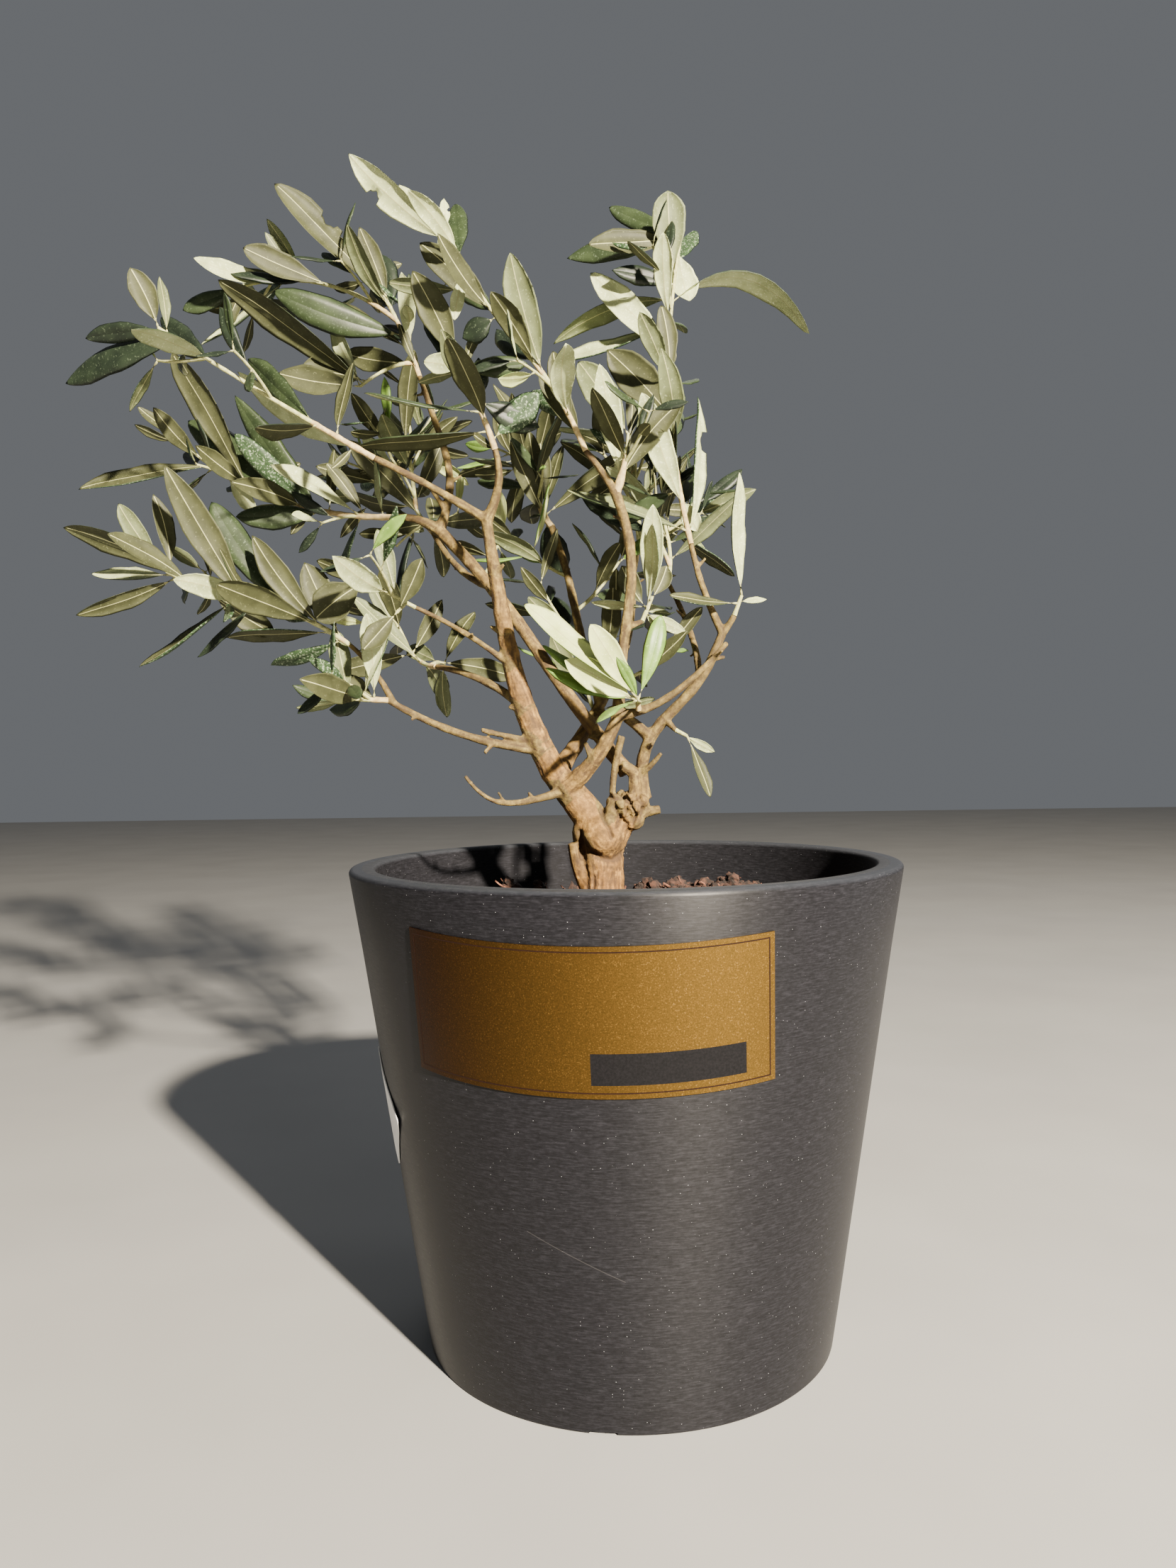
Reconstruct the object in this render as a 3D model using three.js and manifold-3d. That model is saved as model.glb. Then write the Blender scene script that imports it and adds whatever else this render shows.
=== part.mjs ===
// A small olive tree in a conical pot: pot, compost, two labels, a short trunk with its burr,
// the boughs, and the sprays of leaves that they end in. Millimetres, +Z up. The origin is the
// centre of the pot's flat underside, -Y is the front, and +X is to the right seen from there.

import * as THREE from 'three';
import { mergeVertices } from 'three/addons/utils/BufferGeometryUtils.js';
import Module from 'manifold-3d';

const wasm = await Module();
wasm.setup();

// Pot: a straight cone, wide at the rim, with a thick wall
const potHeight = 190;
const rimRadius = 110;
const footRadius = 81.5;
const wall = 10.4;
const floorThickness = 9;
const rimRounding = 1.8;
const footRounding = 1;
const potSides = 64;
const notchCount = 4;
const notchWidth = 10;
const notchHeight = 1.1;
const notchDepth = 9;
const notchBearing = 2;

// Compost
const soilDrop = 22;
const soilFall = 4;
const soilFlatRadius = 34;
const soilSides = 40;

// Labels, flat sheets wrapped round the cone
const labelWidth = 130;
const labelHeight = 51.3;
const labelMiddle = 147.2;
const labelBearing = -8.2;
const stickerWidth = 56;
const stickerHeight = 33;
const stickerMiddle = 101;
const stickerBearing = -78;
const sheetThickness = 0.5;
const sheetStep = 6;

// Clearance between neighbouring solids, and the solid that takes it up
const gap = 0.3;

// Trunk, from the flat cut at the compost up to the fork
const soilLevel = potHeight - soilDrop;
const trunkFoot = [-9.5, 2, soilLevel - 2];
const trunkFork = [-9.5, 0.5, 203];
const trunkGirth = [8.4, 10.6];
const trunkFlare = 2.4;
const trunkFlareLength = 6;
const trunkSides = 10;
const trunkSteps = 7;
// Knobs of the burr on the right of the fork: centre and radius
const burrs = [
  [[1.7, 0, 211.5], 8],
  [[7, 1, 214], 4.8],
  [[-3.4, -2.4, 214.4], 4.6],
  [[4, -3, 206.8], 5],
];
// Fused arms of the trunk: the left shoulder that carries the leader, the neck under the burr, the
// short stem over it, the swelling down the left side, and a sawn stub
const trunkArms = [
  { from: [-8, 0, 200.5], to: [-28.3, -1, 226.6], bow: [0, 0, 0], girth: [7.6, 5.5] },
  { from: [-6, 0.5, 197], to: [1.7, 0.5, 211.5], bow: [0, 0, 0], girth: [8.8, 7.4] },
  { from: [2.8, 1, 213], to: [2.2, 3.4, 225.8], bow: [0, 0, 0], girth: [4.6, 3.2] },
  { from: [-15.2, 1.5, 183], to: [-16.4, 1, 196.5], bow: [-1, 0, 0], girth: [4.2, 5.6] },
  { from: [6, 1, 209], to: [15, 1, 210.5], bow: [0, 0, 0], girth: [2.4, 1.8] },
];

// Boughs. Each starts on the trunk (from) or at a place along another bough (on, at) and runs to
// its tip; bow is its sideways sag at mid-length, crook its S-bend, girth its first and last radius.
const boughs = [
  { name: 'leader', from: [-27.6, -1, 225.5], to: [-52.8, -10, 327], bow: [-4.6, -1, -1.7],
    crook: [-1, 0.6, 0], girth: [5.5, 2.1], stub: { at: 0.13, to: [-56, -12, 243.5], girth: [1.5, 1] } },
  { name: 'left_arm', on: 'leader', at: 1, to: [-94, -25, 348.5], bow: [0, 0.5, 1], girth: [1.8, 1.3] },
  { name: 'leader_top', on: 'leader', at: 1, to: [-48, -19, 352.4], bow: [3, 0.3, 0], girth: [2, 1.3] },
  { name: 'second', from: [1.8, 4, 225.6], to: [-77.2, 26, 330], bow: [1.3, -2, 1.3], crook: [-0.8, 2, -1],
    girth: [2.9, 2.5] },
  { name: 'second_up', on: 'second', at: 1, to: [-89.2, 54, 404.7], bow: [6.8, -1, 0.8], crook: [1.7, 0, 0],
    girth: [2, 1.2], stub: { at: 0.12, to: [-80.5, 28, 348], girth: [1.2, 0.9] } },
  { name: 'second_left', on: 'second', at: 1, to: [-95, 28, 336.6], bow: [0, 0, 1.6], girth: [2.2, 1.4] },
  { name: 'low_upper', on: 'leader', at: 0.44, to: [-79.3, -24, 291], bow: [0.6, 0, 1.6],
    girth: [1.3, 0.9] },
  { name: 'low_mid', on: 'leader', at: 0.28, to: [-77.5, 12, 270.8], bow: [1, -0.6, 2.7], girth: [2, 1.2] },
  { name: 'lowest', on: 'leader', at: 0.1, to: [-90.5, -24, 255.4], bow: [-1.3, 0, -3.5], girth: [1.9, 1.3] },
  { name: 'low_arm', on: 'lowest', at: 0.97, to: [-105.5, -22, 277.2], bow: [1.3, -0.6, 1], girth: [1.2, 1] },
  { name: 'dead_twig', from: [-25, -4, 218.5], to: [-62, -18, 225.5], bow: [-1.7, -1.4, -7.7],
    crook: [0, 0, 1], girth: [1.7, 0.7] },
  { name: 'front', from: [-23, -3, 219.7], to: [-1.6, -13, 248.3], bow: [1.9, -1.5, -1.8],
    girth: [3.7, 2.4] },
  { name: 'front_right', on: 'front', at: 1, to: [41.8, -12, 276.4], bow: [2.3, -1.5, -4.2],
    crook: [0, 0, -0.7], girth: [1.8, 1.1], stub: { at: 0.2, to: [6.5, -17, 250.5], girth: [1.5, 1.3] } },
  { name: 'middle', on: 'front', at: 1, to: [-1.2, -12, 335.7], bow: [4.7, 2, 0], crook: [-1.9, -0.6, 0],
    girth: [2.3, 2], stub: { at: 0.4, to: [8.5, -6, 286], girth: [1.3, 1] } },
  { name: 'middle_top', on: 'middle', at: 1, to: [-12.8, -16, 351.8], bow: [0.4, 0.6, 0.4], girth: [1.6, 1.2] },
  { name: 'back', from: [-26, 5, 228], to: [-9, 23, 255], bow: [0.3, 3, -0.8], girth: [3.7, 2.4] },
  { name: 'back_upper', on: 'back', at: 1, to: [-30.2, 48, 335], bow: [0, -1.9, 0.5], crook: [-0.9, 0, 0],
    girth: [2.1, 1.6] },
  { name: 'rear', on: 'back', at: 1, to: [6, 54, 314], bow: [4, 2, -3], girth: [1.9, 1.2] },
  { name: 'right', from: [8.3, 3, 214.7], to: [40.9, -1, 281.4], bow: [-5.1, 0, 1.4], crook: [-3.5, 1, 1.9],
    girth: [2.7, 1.8], stub: { at: 0.46, to: [21.5, -3, 242.5], girth: [1.3, 1] } },
  { name: 'tall', on: 'right', at: 1, to: [28.8, 0, 317.5], bow: [-1.4, 0, 0], girth: [1.5, 1.2] },
  { name: 'right_tip', on: 'right', at: 1, to: [45.6, -3, 288.2], bow: [0.3, 0, 0], girth: [1.4, 1.1] },
  { name: 'rear_right', on: 'right', at: 0.72, to: [21, 40, 308], bow: [4, 2, -3], girth: [1.6, 1.1] },
  { name: 'rear_left', on: 'second', at: 0.74, to: [-84, 52, 334], bow: [-1, 2, -4], girth: [1.8, 1.2] },
];
const boughSides = 6;
const boughStep = 13;

// Sprays of leaves. Each grows on from the tip of a bough. Its main twig runs to a point; more
// twigs start at a place along the main one. A leaf is [place along the twig, bearing seen from
// the front in degrees, length seen from the front, breadth seen from the front]; a minus on the
// breadth turns its upper side to the front, and a fifth number arches it over by that part of its
// length. pairs adds opposite leaves by rule and forks adds side twigs with pairs of their own.
const sprays = [
  { name: 'spray_far_left', on: 'left_arm', twigs: [
    { to: [-167, -50, 391], bow: [0, -1, -1], pairs: 2,
      leaves: [[0.91, 190, 51, -11], [0.98, 180, 31, -6], [1, 110, 20, 9], [0.96, 95, 20, 3],
        [0.08, 145, 62, 6], [0.1, 230, 12, 4], [0.18, 80, 31, 7]] }] },
  { name: 'spray_left', on: 'second_left', twigs: [
    { to: [-192, 36, 373], bow: [-4, -1, -9], pairs: 4,
      leaves: [[0.65, 115, 57, 12], [0.46, 140, 62, -15], [0.32, 125, 59, -12], [0.35, 135, 44, -10],
        [1, 140, 25, 4], [1, 160, 19, 3], [0.83, 195, 52, 8], [0.76, 305, 19, 7], [0.3, 185, 36, -11],
        [0.13, 125, 28, 6], [0.06, 100, 34, 5], [0.41, 205, 22, 6], [0.36, 230, 14, 4],
        [0.28, 90, 30, 4]] }] },
  { name: 'spray_low_left', on: 'low_arm', twigs: [
    { to: [-177, -22, 307], bow: [0, 0, 1], crook: [1, 0, 2], pairs: 3,
      leaves: [[1, 125, 33, 8], [0.98, 100, 31, 5], [0.89, 155, 49, 8], [0.97, 175, 37, 7],
        [0.94, 205, 37, 6], [0.63, 210, 49, 5], [0.56, 115, 54, 12], [0.33, 125, 54, -12],
        [0.16, 125, 42, 10], [0.05, 115, 33, 12], [0.11, 180, 45, 4], [0.76, 325, 27, 10],
        [0.05, 195, 33, -6]] }] },
  { name: 'spray_low', on: 'lowest', twigs: [
    { to: [-106, -27, 256], bow: [0, 0, 0], pairs: 1,
      leaves: [[1, 165, 21, -5], [1, 190, 19, 3], [0.95, 105, 29, 8], [0.3, 150, 17, 8],
        [0.35, 90, 32, 8], [0.6, 65, 30, 5]] }] },
  { name: 'spray_low_upper', on: 'low_upper', twigs: [
    { to: [-96, -33, 300], bow: [0, 0, 0], pairs: 1,
      leaves: [[1, 215, 24, 15], [0.8, 155, 27, 6], [0.4, 105, 27, 7]] },
    { at: 0.2, to: [-84, -36, 288], bow: [0, 0, 0], leaves: [[1, 230, 19, 9], [0.9, 60, 21, 8]] }] },
  { name: 'spray_low_mid', on: 'low_mid', forks: 2, twigs: [
    { to: [-97, 38, 285], bow: [0, 2, -3], pairs: 3, leaves: [] }] },
  { name: 'spray_top_left', on: 'second_up', twigs: [
    { to: [-120, 66, 468], bow: [2, 1, 1], pairs: 3,
      leaves: [[0.59, 135, 64, 12], [0.54, 110, 38, 9], [0.2, 150, 56, 9], [0.31, 165, 56, -15],
        [0.47, 105, 32, -15], [0.1, 165, 35, 11], [0.05, 110, 20, 4]] },
    { at: 0.42, to: [-173, 70, 454], bow: [2, 1, 9], pairs: 2,
      leaves: [[0.47, 160, 38, 12], [0.63, 120, 29, 5], [0.66, 125, 23, 5], [1, 200, 31, -9],
        [0.73, 175, 32, 7], [0.58, 180, 34, -7], [0.75, 220, 49, 7], [1, 245, 21, 7]] },
    { at: 0.1, to: [-114, 44, 398], bow: [1, 0, 3],
      leaves: [[0.95, 145, 72, 9], [0.9, 165, 30, 16], [1, 170, 37, 13], [1, 115, 38, 8]] }] },
  { name: 'spray_top', on: 'middle_top', twigs: [
    { to: [-64, -29, 433], bow: [0, 0, 0], crook: [2, 0, 1], pairs: 4,
      leaves: [[0.94, 140, 49, 9], [0.62, 135, 41, 11], [1, 135, 25, 4], [1, 95, 13, 3],
        [0.34, 105, 41, 12], [0.04, 120, 32, 9], [0.1, 105, 32, 8], [0.62, 205, 15, -10],
        [0.83, 255, 19, 5], [0.45, 110, 16, 6]] }] },
  { name: 'spray_upper_left', on: 'leader_top', twigs: [
    { to: [-61, -29, 383], bow: [1, 0, 0], pairs: 2,
      leaves: [[0.99, 115, 39, 12], [0.48, 90, 19, -8], [0.1, 45, 26, -12], [0.43, 175, 42, -4],
        [0.21, 185, 51, 3], [0.91, 160, 16, 8], [0.95, 0, 26, -8], [0.57, 340, 25, -11]] }] },
  { name: 'spray_centre', on: 'middle', twigs: [
    { to: [4, -13, 359], bow: [1, -1, 0], pairs: 1,
      leaves: [[0.97, 120, 39, 13], [0.2, 100, 41, 10], [0.25, 50, 37, 11], [0.3, 200, 16, 10]] }] },
  { name: 'spray_tall', on: 'tall', twigs: [
    { to: [28, 24, 452], bow: [-7, 0, 0], pairs: 5,
      leaves: [[0.03, 85, 60, 7], [0.14, 300, 14, 8], [0.22, 95, 37, 4], [0.4, 130, 40, 16],
        [0.6, 130, 50, 12], [0.51, 95, 32, 8], [0.53, 95, 15, 9], [0.7, 190, 52, 7],
        [0.83, 170, 26, -9], [0.78, 194, 52, 5, 0.14], [0.77, 352, 60, 4, 0.3], [0.95, 280, 23, 12],
        [1, 185, 49, -11], [0.98, 190, 39, 12], [1, 150, 35, -8], [0.86, 95, 32, 14],
        [0.04, 160, 52, 6], [0.17, 205, 27, -8]] }] },
  { name: 'spray_right', on: 'right_tip', twigs: [
    { to: [48.5, -4, 296], bow: [0, 0, 0],
      leaves: [[1, 92, 46, 7], [0.6, 175, 28, 4], [0.7, 5, 11, 3], [0.5, 260, 17, 3]] }] },
  { name: 'spray_front', on: 'front_right', at: 'stub', twigs: [
    { to: [6, -21, 255], bow: [0, 0, 0], pairs: 1,
      leaves: [[1, 140, 56, 8], [0.9, 150, 42, -4], [0.8, 160, 38, -6], [0.6, 150, 32, 12],
        [0.8, 122, 33, 10]] }] },
  { name: 'spray_mid_right', on: 'middle', at: 'stub', twigs: [
    { to: [13, 4, 297], bow: [0, 0, 0], pairs: 2,
      leaves: [[0.95, 65, 15, 8], [0.4, 355, 10, 3], [0.3, 315, 8, 3], [0.35, 330, 18, 5],
        [0.5, 120, 20, 9], [0.6, 175, 23, 3]] }] },
  { name: 'spray_back_centre', on: 'back_upper', forks: 2, twigs: [
    { to: [-38, 66, 372], bow: [-3, 0, -3], pairs: 4,
      leaves: [[0.3, 90, 30, 8], [0.25, 75, 35, 7], [0.2, 35, 61, 7], [0.15, 285, 24, -13]] }] },
  { name: 'spray_hanging', on: 'right', at: 'stub', twigs: [
    { to: [26, -4, 240], bow: [0, 0, 0], leaves: [[0.8, 330, 14, 4], [1, 290, 26, 5]] }] },
  { name: 'spray_rear', on: 'rear', forks: 3, twigs: [
    { to: [4, 74, 378], bow: [4, 4, -2], pairs: 5, leaves: [] }] },
  { name: 'spray_rear_right', on: 'rear_right', forks: 2, twigs: [
    { to: [14, 58, 352], bow: [4, 2, 0], pairs: 5, leaves: [] }] },
  { name: 'spray_rear_left', on: 'rear_left', forks: 4, twigs: [
    { to: [-110, 78, 382], bow: [0, 4, -5], pairs: 5, leaves: [] }] },
];

// Twigs and leaves
const twigGirth = [1.3, 0.95];
const twigSides = 3;
const twigStep = 16;
const firstLeafGap = 3;
const leafLength = 52;
const leafSizes = [0.72, 1.05];
const leafTipLoss = 0.3;
const attempts = 4;
const attemptStep = 0.37;
const freeRoot = 7;
const leafSlenderness = 0.2;
const leafExtraBreadth = 1.4;
const leafSides = 3;
const leafThickness = 0.9;
const leafStations = [0.42, 0.74];
const leafStationBreadths = [1, 0.78];
const petioleRadius = 0.42;
const petioleLength = 1.5;
const rootDepth = 0.3;
const leafArch = 0.05;
const pairLean = 0.5;
const pairSpread = 52;
const pairSpreadNoise = 16;
const depthTilt = 22;
const forkSpread = 42;
const forkPlaces = [0.18, 0.8];
const forkLengths = [0.57, 0.36];
const forkSag = 1;
const forkPairs = 2;
const goldenAngle = 137.5;

// Which of a leaf's repeatable numbers is drawn for its size, turn and arch
const sizeDraw = 0.25;
const turnDraw = 0.5;
const archDraw = 0.75;

const depthAxis = new THREE.Vector3(0, 1, 0);
const sideAxis = new THREE.Vector3(1, 0, 0);
const radians = THREE.MathUtils.degToRad;
const vector = ([x, y, z]) => new THREE.Vector3(x, y, z);
const mix = ([a, b], t) => a + (b - a) * t;

// Half the breadth, and the height, of a three-sided section of radius 1
const leafSectionReach = Math.cos(Math.PI / 6);
const leafSectionHeight = 1.5;

// A repeatable number from 0 to 1 for each spray and count
function chance(seed, count) {
  const wave = Math.sin(seed * 12.9898 + count * 78.233) * 43758.5453;
  return wave - Math.floor(wave);
}

// Closed solid of a geometry: seam and pole vertices are joined and empty faces dropped
function solidOf(geometry) {
  const bare = new THREE.BufferGeometry();
  bare.setAttribute('position', geometry.getAttribute('position'));
  bare.setIndex(geometry.getIndex());
  const joined = mergeVertices(bare);
  const index = joined.getIndex().array;
  const faces = [];
  for (let i = 0; i < index.length; i += 3) {
    const [a, b, c] = index.subarray(i, i + 3);
    if (a !== b && b !== c && c !== a) faces.push(a, b, c);
  }
  return new wasm.Manifold(new wasm.Mesh({
    numProp: 3,
    vertProperties: new Float32Array(joined.getAttribute('position').array),
    triVerts: new Uint32Array(faces),
  }));
}

// The largest shell of a solid, without loose scraps or sealed hollows
function mainShell(solid) {
  return solid.decompose().reduce((a, b) => (b.volume() > a.volume() ? b : a));
}

function meshOf(name, solid, material) {
  const { vertProperties, triVerts } = solid.getMesh();
  const geometry = new THREE.BufferGeometry();
  geometry.setAttribute('position', new THREE.BufferAttribute(vertProperties, 3));
  geometry.setIndex(new THREE.BufferAttribute(triVerts, 1));
  geometry.computeVertexNormals();
  const mesh = new THREE.Mesh(geometry, material);
  mesh.name = name;
  return mesh;
}

// Solid turned about the Z axis from [radius, height] corners listed from the foot up
function turned(corners, sides) {
  const profile = corners.map(([radius, height]) => new THREE.Vector2(radius, height));
  return solidOf(new THREE.LatheGeometry(profile, sides).rotateX(Math.PI / 2).rotateZ(Math.PI));
}

// Points of a quarter round between two edges of a profile
function rounded([x, y], radius, fromDegrees, steps) {
  const points = [];
  for (let i = 0; i <= steps; i += 1) {
    const angle = radians(fromDegrees + (90 * i) / steps);
    points.push([x + radius * Math.cos(angle), y + radius * Math.sin(angle)]);
  }
  return points;
}

// Point and heading of a path that runs from, to, with its bow and crook
function pointOn(path, t) {
  return vector(path.from).lerp(vector(path.to), t)
    .addScaledVector(vector(path.bow), 4 * t * (1 - t))
    .addScaledVector(vector(path.crook ?? [0, 0, 0]), Math.sin(2 * Math.PI * t));
}

function headingOn(path, t) {
  return vector(path.to).sub(vector(path.from))
    .addScaledVector(vector(path.bow), 4 - 8 * t)
    .addScaledVector(vector(path.crook ?? [0, 0, 0]), 2 * Math.PI * Math.cos(2 * Math.PI * t))
    .normalize();
}

function lengthOf(path) {
  return vector(path.from).distanceTo(vector(path.to));
}

// Two directions square to a heading: one in the picture plane, one in depth
function acrossOf(heading) {
  const guide = Math.abs(heading.y) > 0.9 ? sideAxis : depthAxis;
  const side = new THREE.Vector3().crossVectors(heading, guide).normalize();
  return [side, new THREE.Vector3().crossVectors(side, heading).normalize()];
}

// A unit lathe, radius 1 and height 1, whose rings are then carried along a path by place(t, x, z)
function carried(stations, sides, place) {
  const profile = stations.map(([radius, t]) => new THREE.Vector2(radius, t));
  const geometry = new THREE.LatheGeometry(profile, sides);
  const position = geometry.getAttribute('position');
  for (let i = 0; i < position.count; i += 1) {
    const point = place(position.getY(i), position.getX(i), position.getZ(i));
    position.setXYZ(i, point.x, point.y, point.z);
  }
  return solidOf(geometry);
}

// Tapering limb along a path; swell is added to its radius and to its ends
function limb(path, radiusAt, sides, step, swell = 0) {
  const length = lengthOf(path);
  const rings = Math.max(2, Math.round(length / step));
  const stations = [[0, 0]];
  for (let i = 0; i <= rings; i += 1) stations.push([1, i / rings]);
  stations.push([0, 1]);
  return carried(stations, sides, (t, x, z) => {
    const heading = headingOn(path, t);
    const [side, depth] = acrossOf(heading);
    const overrun = swell * (t === 1 ? 1 : 0) - swell * (t === 0 ? 1 : 0);
    const radius = radiusAt(t) + swell;
    return pointOn(path, t)
      .addScaledVector(heading, overrun)
      .addScaledVector(side, x * radius)
      .addScaledVector(depth, z * radius);
  });
}

function ball([centre, radius], swell = 0) {
  const geometry = new THREE.SphereGeometry(radius + swell, 9, 6);
  return solidOf(geometry.translate(...centre));
}

// Sheet of a given width and breadth wrapped round the pot's cone
function wrappedSheet(width, breadth, middle, bearing) {
  const slope = Math.atan2(rimRadius - footRadius, potHeight);
  const middleSlant = (footRadius + Math.tan(slope) * middle) / Math.sin(slope);
  const apexHeight = middle - middleSlant * Math.cos(slope);
  const columns = Math.round(width / sheetStep);
  const geometry = new THREE.BoxGeometry(width, breadth, sheetThickness, columns, 2, 1);
  const position = geometry.getAttribute('position');
  for (let i = 0; i < position.count; i += 1) {
    const slant = Math.hypot(position.getX(i), middleSlant + position.getY(i));
    const turn = Math.atan2(position.getX(i), middleSlant + position.getY(i)) / Math.sin(slope);
    const lift = gap + sheetThickness / 2 + position.getZ(i);
    const radius = slant * Math.sin(slope) + lift * Math.cos(slope);
    const height = apexHeight + slant * Math.cos(slope) - lift * Math.sin(slope);
    const angle = radians(bearing) + turn;
    position.setXYZ(i, radius * Math.sin(angle), -radius * Math.cos(angle), height);
  }
  return solidOf(geometry);
}

function buildPot() {
  const slope = (rimRadius - footRadius) / potHeight;
  const innerAt = (height) => footRadius + slope * height - wall;
  let pot = turned([
    [0, 0],
    ...rounded([footRadius - footRounding, footRounding], footRounding, -90, 1),
    ...rounded([rimRadius - rimRounding, potHeight - rimRounding], rimRounding, 0, 2),
    ...rounded([rimRadius - wall + rimRounding, potHeight - rimRounding], rimRounding, 90, 2),
    [innerAt(floorThickness), floorThickness],
    [0, floorThickness],
  ], potSides);
  for (let i = 0; i < notchCount; i += 1) {
    const angle = radians(notchBearing + (360 / notchCount) * i);
    const cut = new THREE.BoxGeometry(notchWidth, 2 * notchDepth, 2 * notchHeight)
      .translate(0, -footRadius, 0)
      .rotateZ(angle);
    pot = pot.subtract(solidOf(cut));
  }
  return pot;
}

function buildSoil() {
  const slope = (rimRadius - footRadius) / potHeight;
  const foot = floorThickness + gap;
  const edge = soilLevel - soilFall;
  const radiusAt = (height) => footRadius + slope * height - wall - gap;
  return turned([
    [0, foot],
    [radiusAt(foot), foot],
    [radiusAt(edge), edge],
    [(soilFlatRadius + radiusAt(edge)) / 2, soilLevel - soilFall / 3],
    [soilFlatRadius, soilLevel],
    [0, soilLevel],
  ], soilSides);
}

// Trunk with its root flare, shoulder, burr and stub, as one solid
function buildTrunk(swell = 0) {
  const path = { from: trunkFoot, to: trunkFork, bow: [0, 0, 0] };
  const length = lengthOf(path);
  const radiusAt = (t) => mix(trunkGirth, t) + trunkFlare * Math.exp((-t * length) / trunkFlareLength);
  let trunk = limb(path, radiusAt, trunkSides, length / trunkSteps, swell);
  for (const burr of burrs) trunk = trunk.add(ball(burr, swell));
  for (const arm of trunkArms) {
    trunk = trunk.add(limb(arm, (t) => mix(arm.girth, t), boughSides, boughStep, swell));
  }
  const below = new THREE.BoxGeometry(rimRadius, rimRadius, rimRadius)
    .translate(0, 0, soilLevel + gap - rimRadius / 2);
  return mainShell(trunk.subtract(solidOf(below)));
}

// Bough with its fused stub
function buildBough(bough, swell = 0) {
  const solid = limb(bough, (t) => mix(bough.girth, t), boughSides, boughStep, swell);
  if (!bough.stub) return solid;
  const { girth } = bough.stub;
  return mainShell(solid.add(limb(bough.stub, (t) => mix(girth, t), boughSides, boughStep, swell)));
}

// Leaf from root to tip, with its underside ridge on the side that facing points to
function buildLeaf({ root, tip, facing, breadth, arch }, swell = 0) {
  const along = tip.clone().sub(root);
  const length = along.length();
  const heading = along.clone().normalize();
  const across = new THREE.Vector3().crossVectors(heading, facing).normalize();
  const up = new THREE.Vector3().crossVectors(across, heading).normalize();
  const petioleEnd = petioleLength / length;
  const [wide, narrow] = leafStations;
  const half = breadth / 2 / leafSectionReach;
  const halves = new Map([
    [petioleEnd, petioleRadius],
    [wide, half * leafStationBreadths[0]],
    [narrow, half * leafStationBreadths[1]],
  ]);
  const stations = [[0, 0], [1, petioleEnd], [1, wide], [1, narrow], [0, 1]];
  return carried(stations, leafSides, (t, x, z) => {
    const key = [...halves.keys()].find((station) => Math.abs(station - t) < 1e-6);
    const reach = key === undefined ? 0 : halves.get(key) + swell;
    const rise = key === petioleEnd ? petioleRadius : leafThickness / leafSectionHeight + swell;
    const overrun = swell * (t === 1 ? 1 : 0);
    return root.clone()
      .addScaledVector(heading, length * t + overrun)
      .addScaledVector(up, 4 * t * (1 - t) * arch * length + z * rise)
      .addScaledVector(across, x * reach);
  });
}

// Leaf given as it shows from the front, turned about its own length until it shows that breadth.
// One that arches over turns its underside down. Each attempt leans it to another depth.
function seenLeaf(twig, [place, bearing, length, seenBreadth, droop], seed, count, attempt) {
  const t = Math.max(place, firstLeafGap / lengthOf(twig));
  const tilt = radians(depthTilt * (2 * chance(seed, count + attempt * attemptStep) - 1));
  const angle = radians(bearing);
  const heading = new THREE.Vector3(Math.cos(angle), Math.tan(tilt), Math.sin(angle));
  const root = pointOn(twig, t);
  const tip = root.clone().addScaledVector(heading, length);
  heading.normalize();
  const shown = Math.abs(seenBreadth);
  const breadth = Math.max(shown, leafSlenderness * length + leafExtraBreadth);
  const side = droop ? Math.sign(heading.x) : Math.sign(chance(seed, count + turnDraw) - 0.5);
  const turn = Math.acos(shown / breadth) * side;
  const front = new THREE.Vector3(0, -Math.sign(seenBreadth), 0);
  const facing = front.addScaledVector(heading, -front.dot(heading)).normalize();
  facing.applyAxisAngle(heading, turn);
  root.addScaledVector(heading, -rootDepth);
  const arch = droop ? -droop : leafArch * (2 * chance(seed, count + archDraw) - 1);
  return { root, tip, facing, breadth, arch };
}

// Opposite leaf of a pair: side is 1 or -1, roll turns the pair about the twig, and each attempt
// opens it to another angle
function pairedLeaf(twig, place, roll, side, seed, count, attempt) {
  const along = headingOn(twig, place);
  const [left, depth] = acrossOf(along);
  const noise = chance(seed, count + attempt * attemptStep);
  const spread = radians(pairSpread + pairSpreadNoise * (2 * noise - 1));
  const outward = left.multiplyScalar(Math.cos(roll)).addScaledVector(depth, Math.sin(roll));
  const heading = along.clone().multiplyScalar(Math.cos(spread))
    .addScaledVector(outward, side * Math.sin(spread));
  const root = pointOn(twig, place);
  const size = leafLength * mix(leafSizes, chance(seed, count + sizeDraw)) * (1 - leafTipLoss * place);
  const tip = root.clone().addScaledVector(heading, size);
  const facing = along.negate().addScaledVector(heading, along.dot(heading) * -1).normalize();
  facing.applyAxisAngle(heading, pairLean * (2 * chance(seed, count + turnDraw) - 1));
  root.addScaledVector(heading, -rootDepth);
  const breadth = leafSlenderness * size + leafExtraBreadth;
  return { root, tip, facing, breadth, arch: leafArch * (2 * chance(seed, count + archDraw) - 1) };
}

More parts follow.
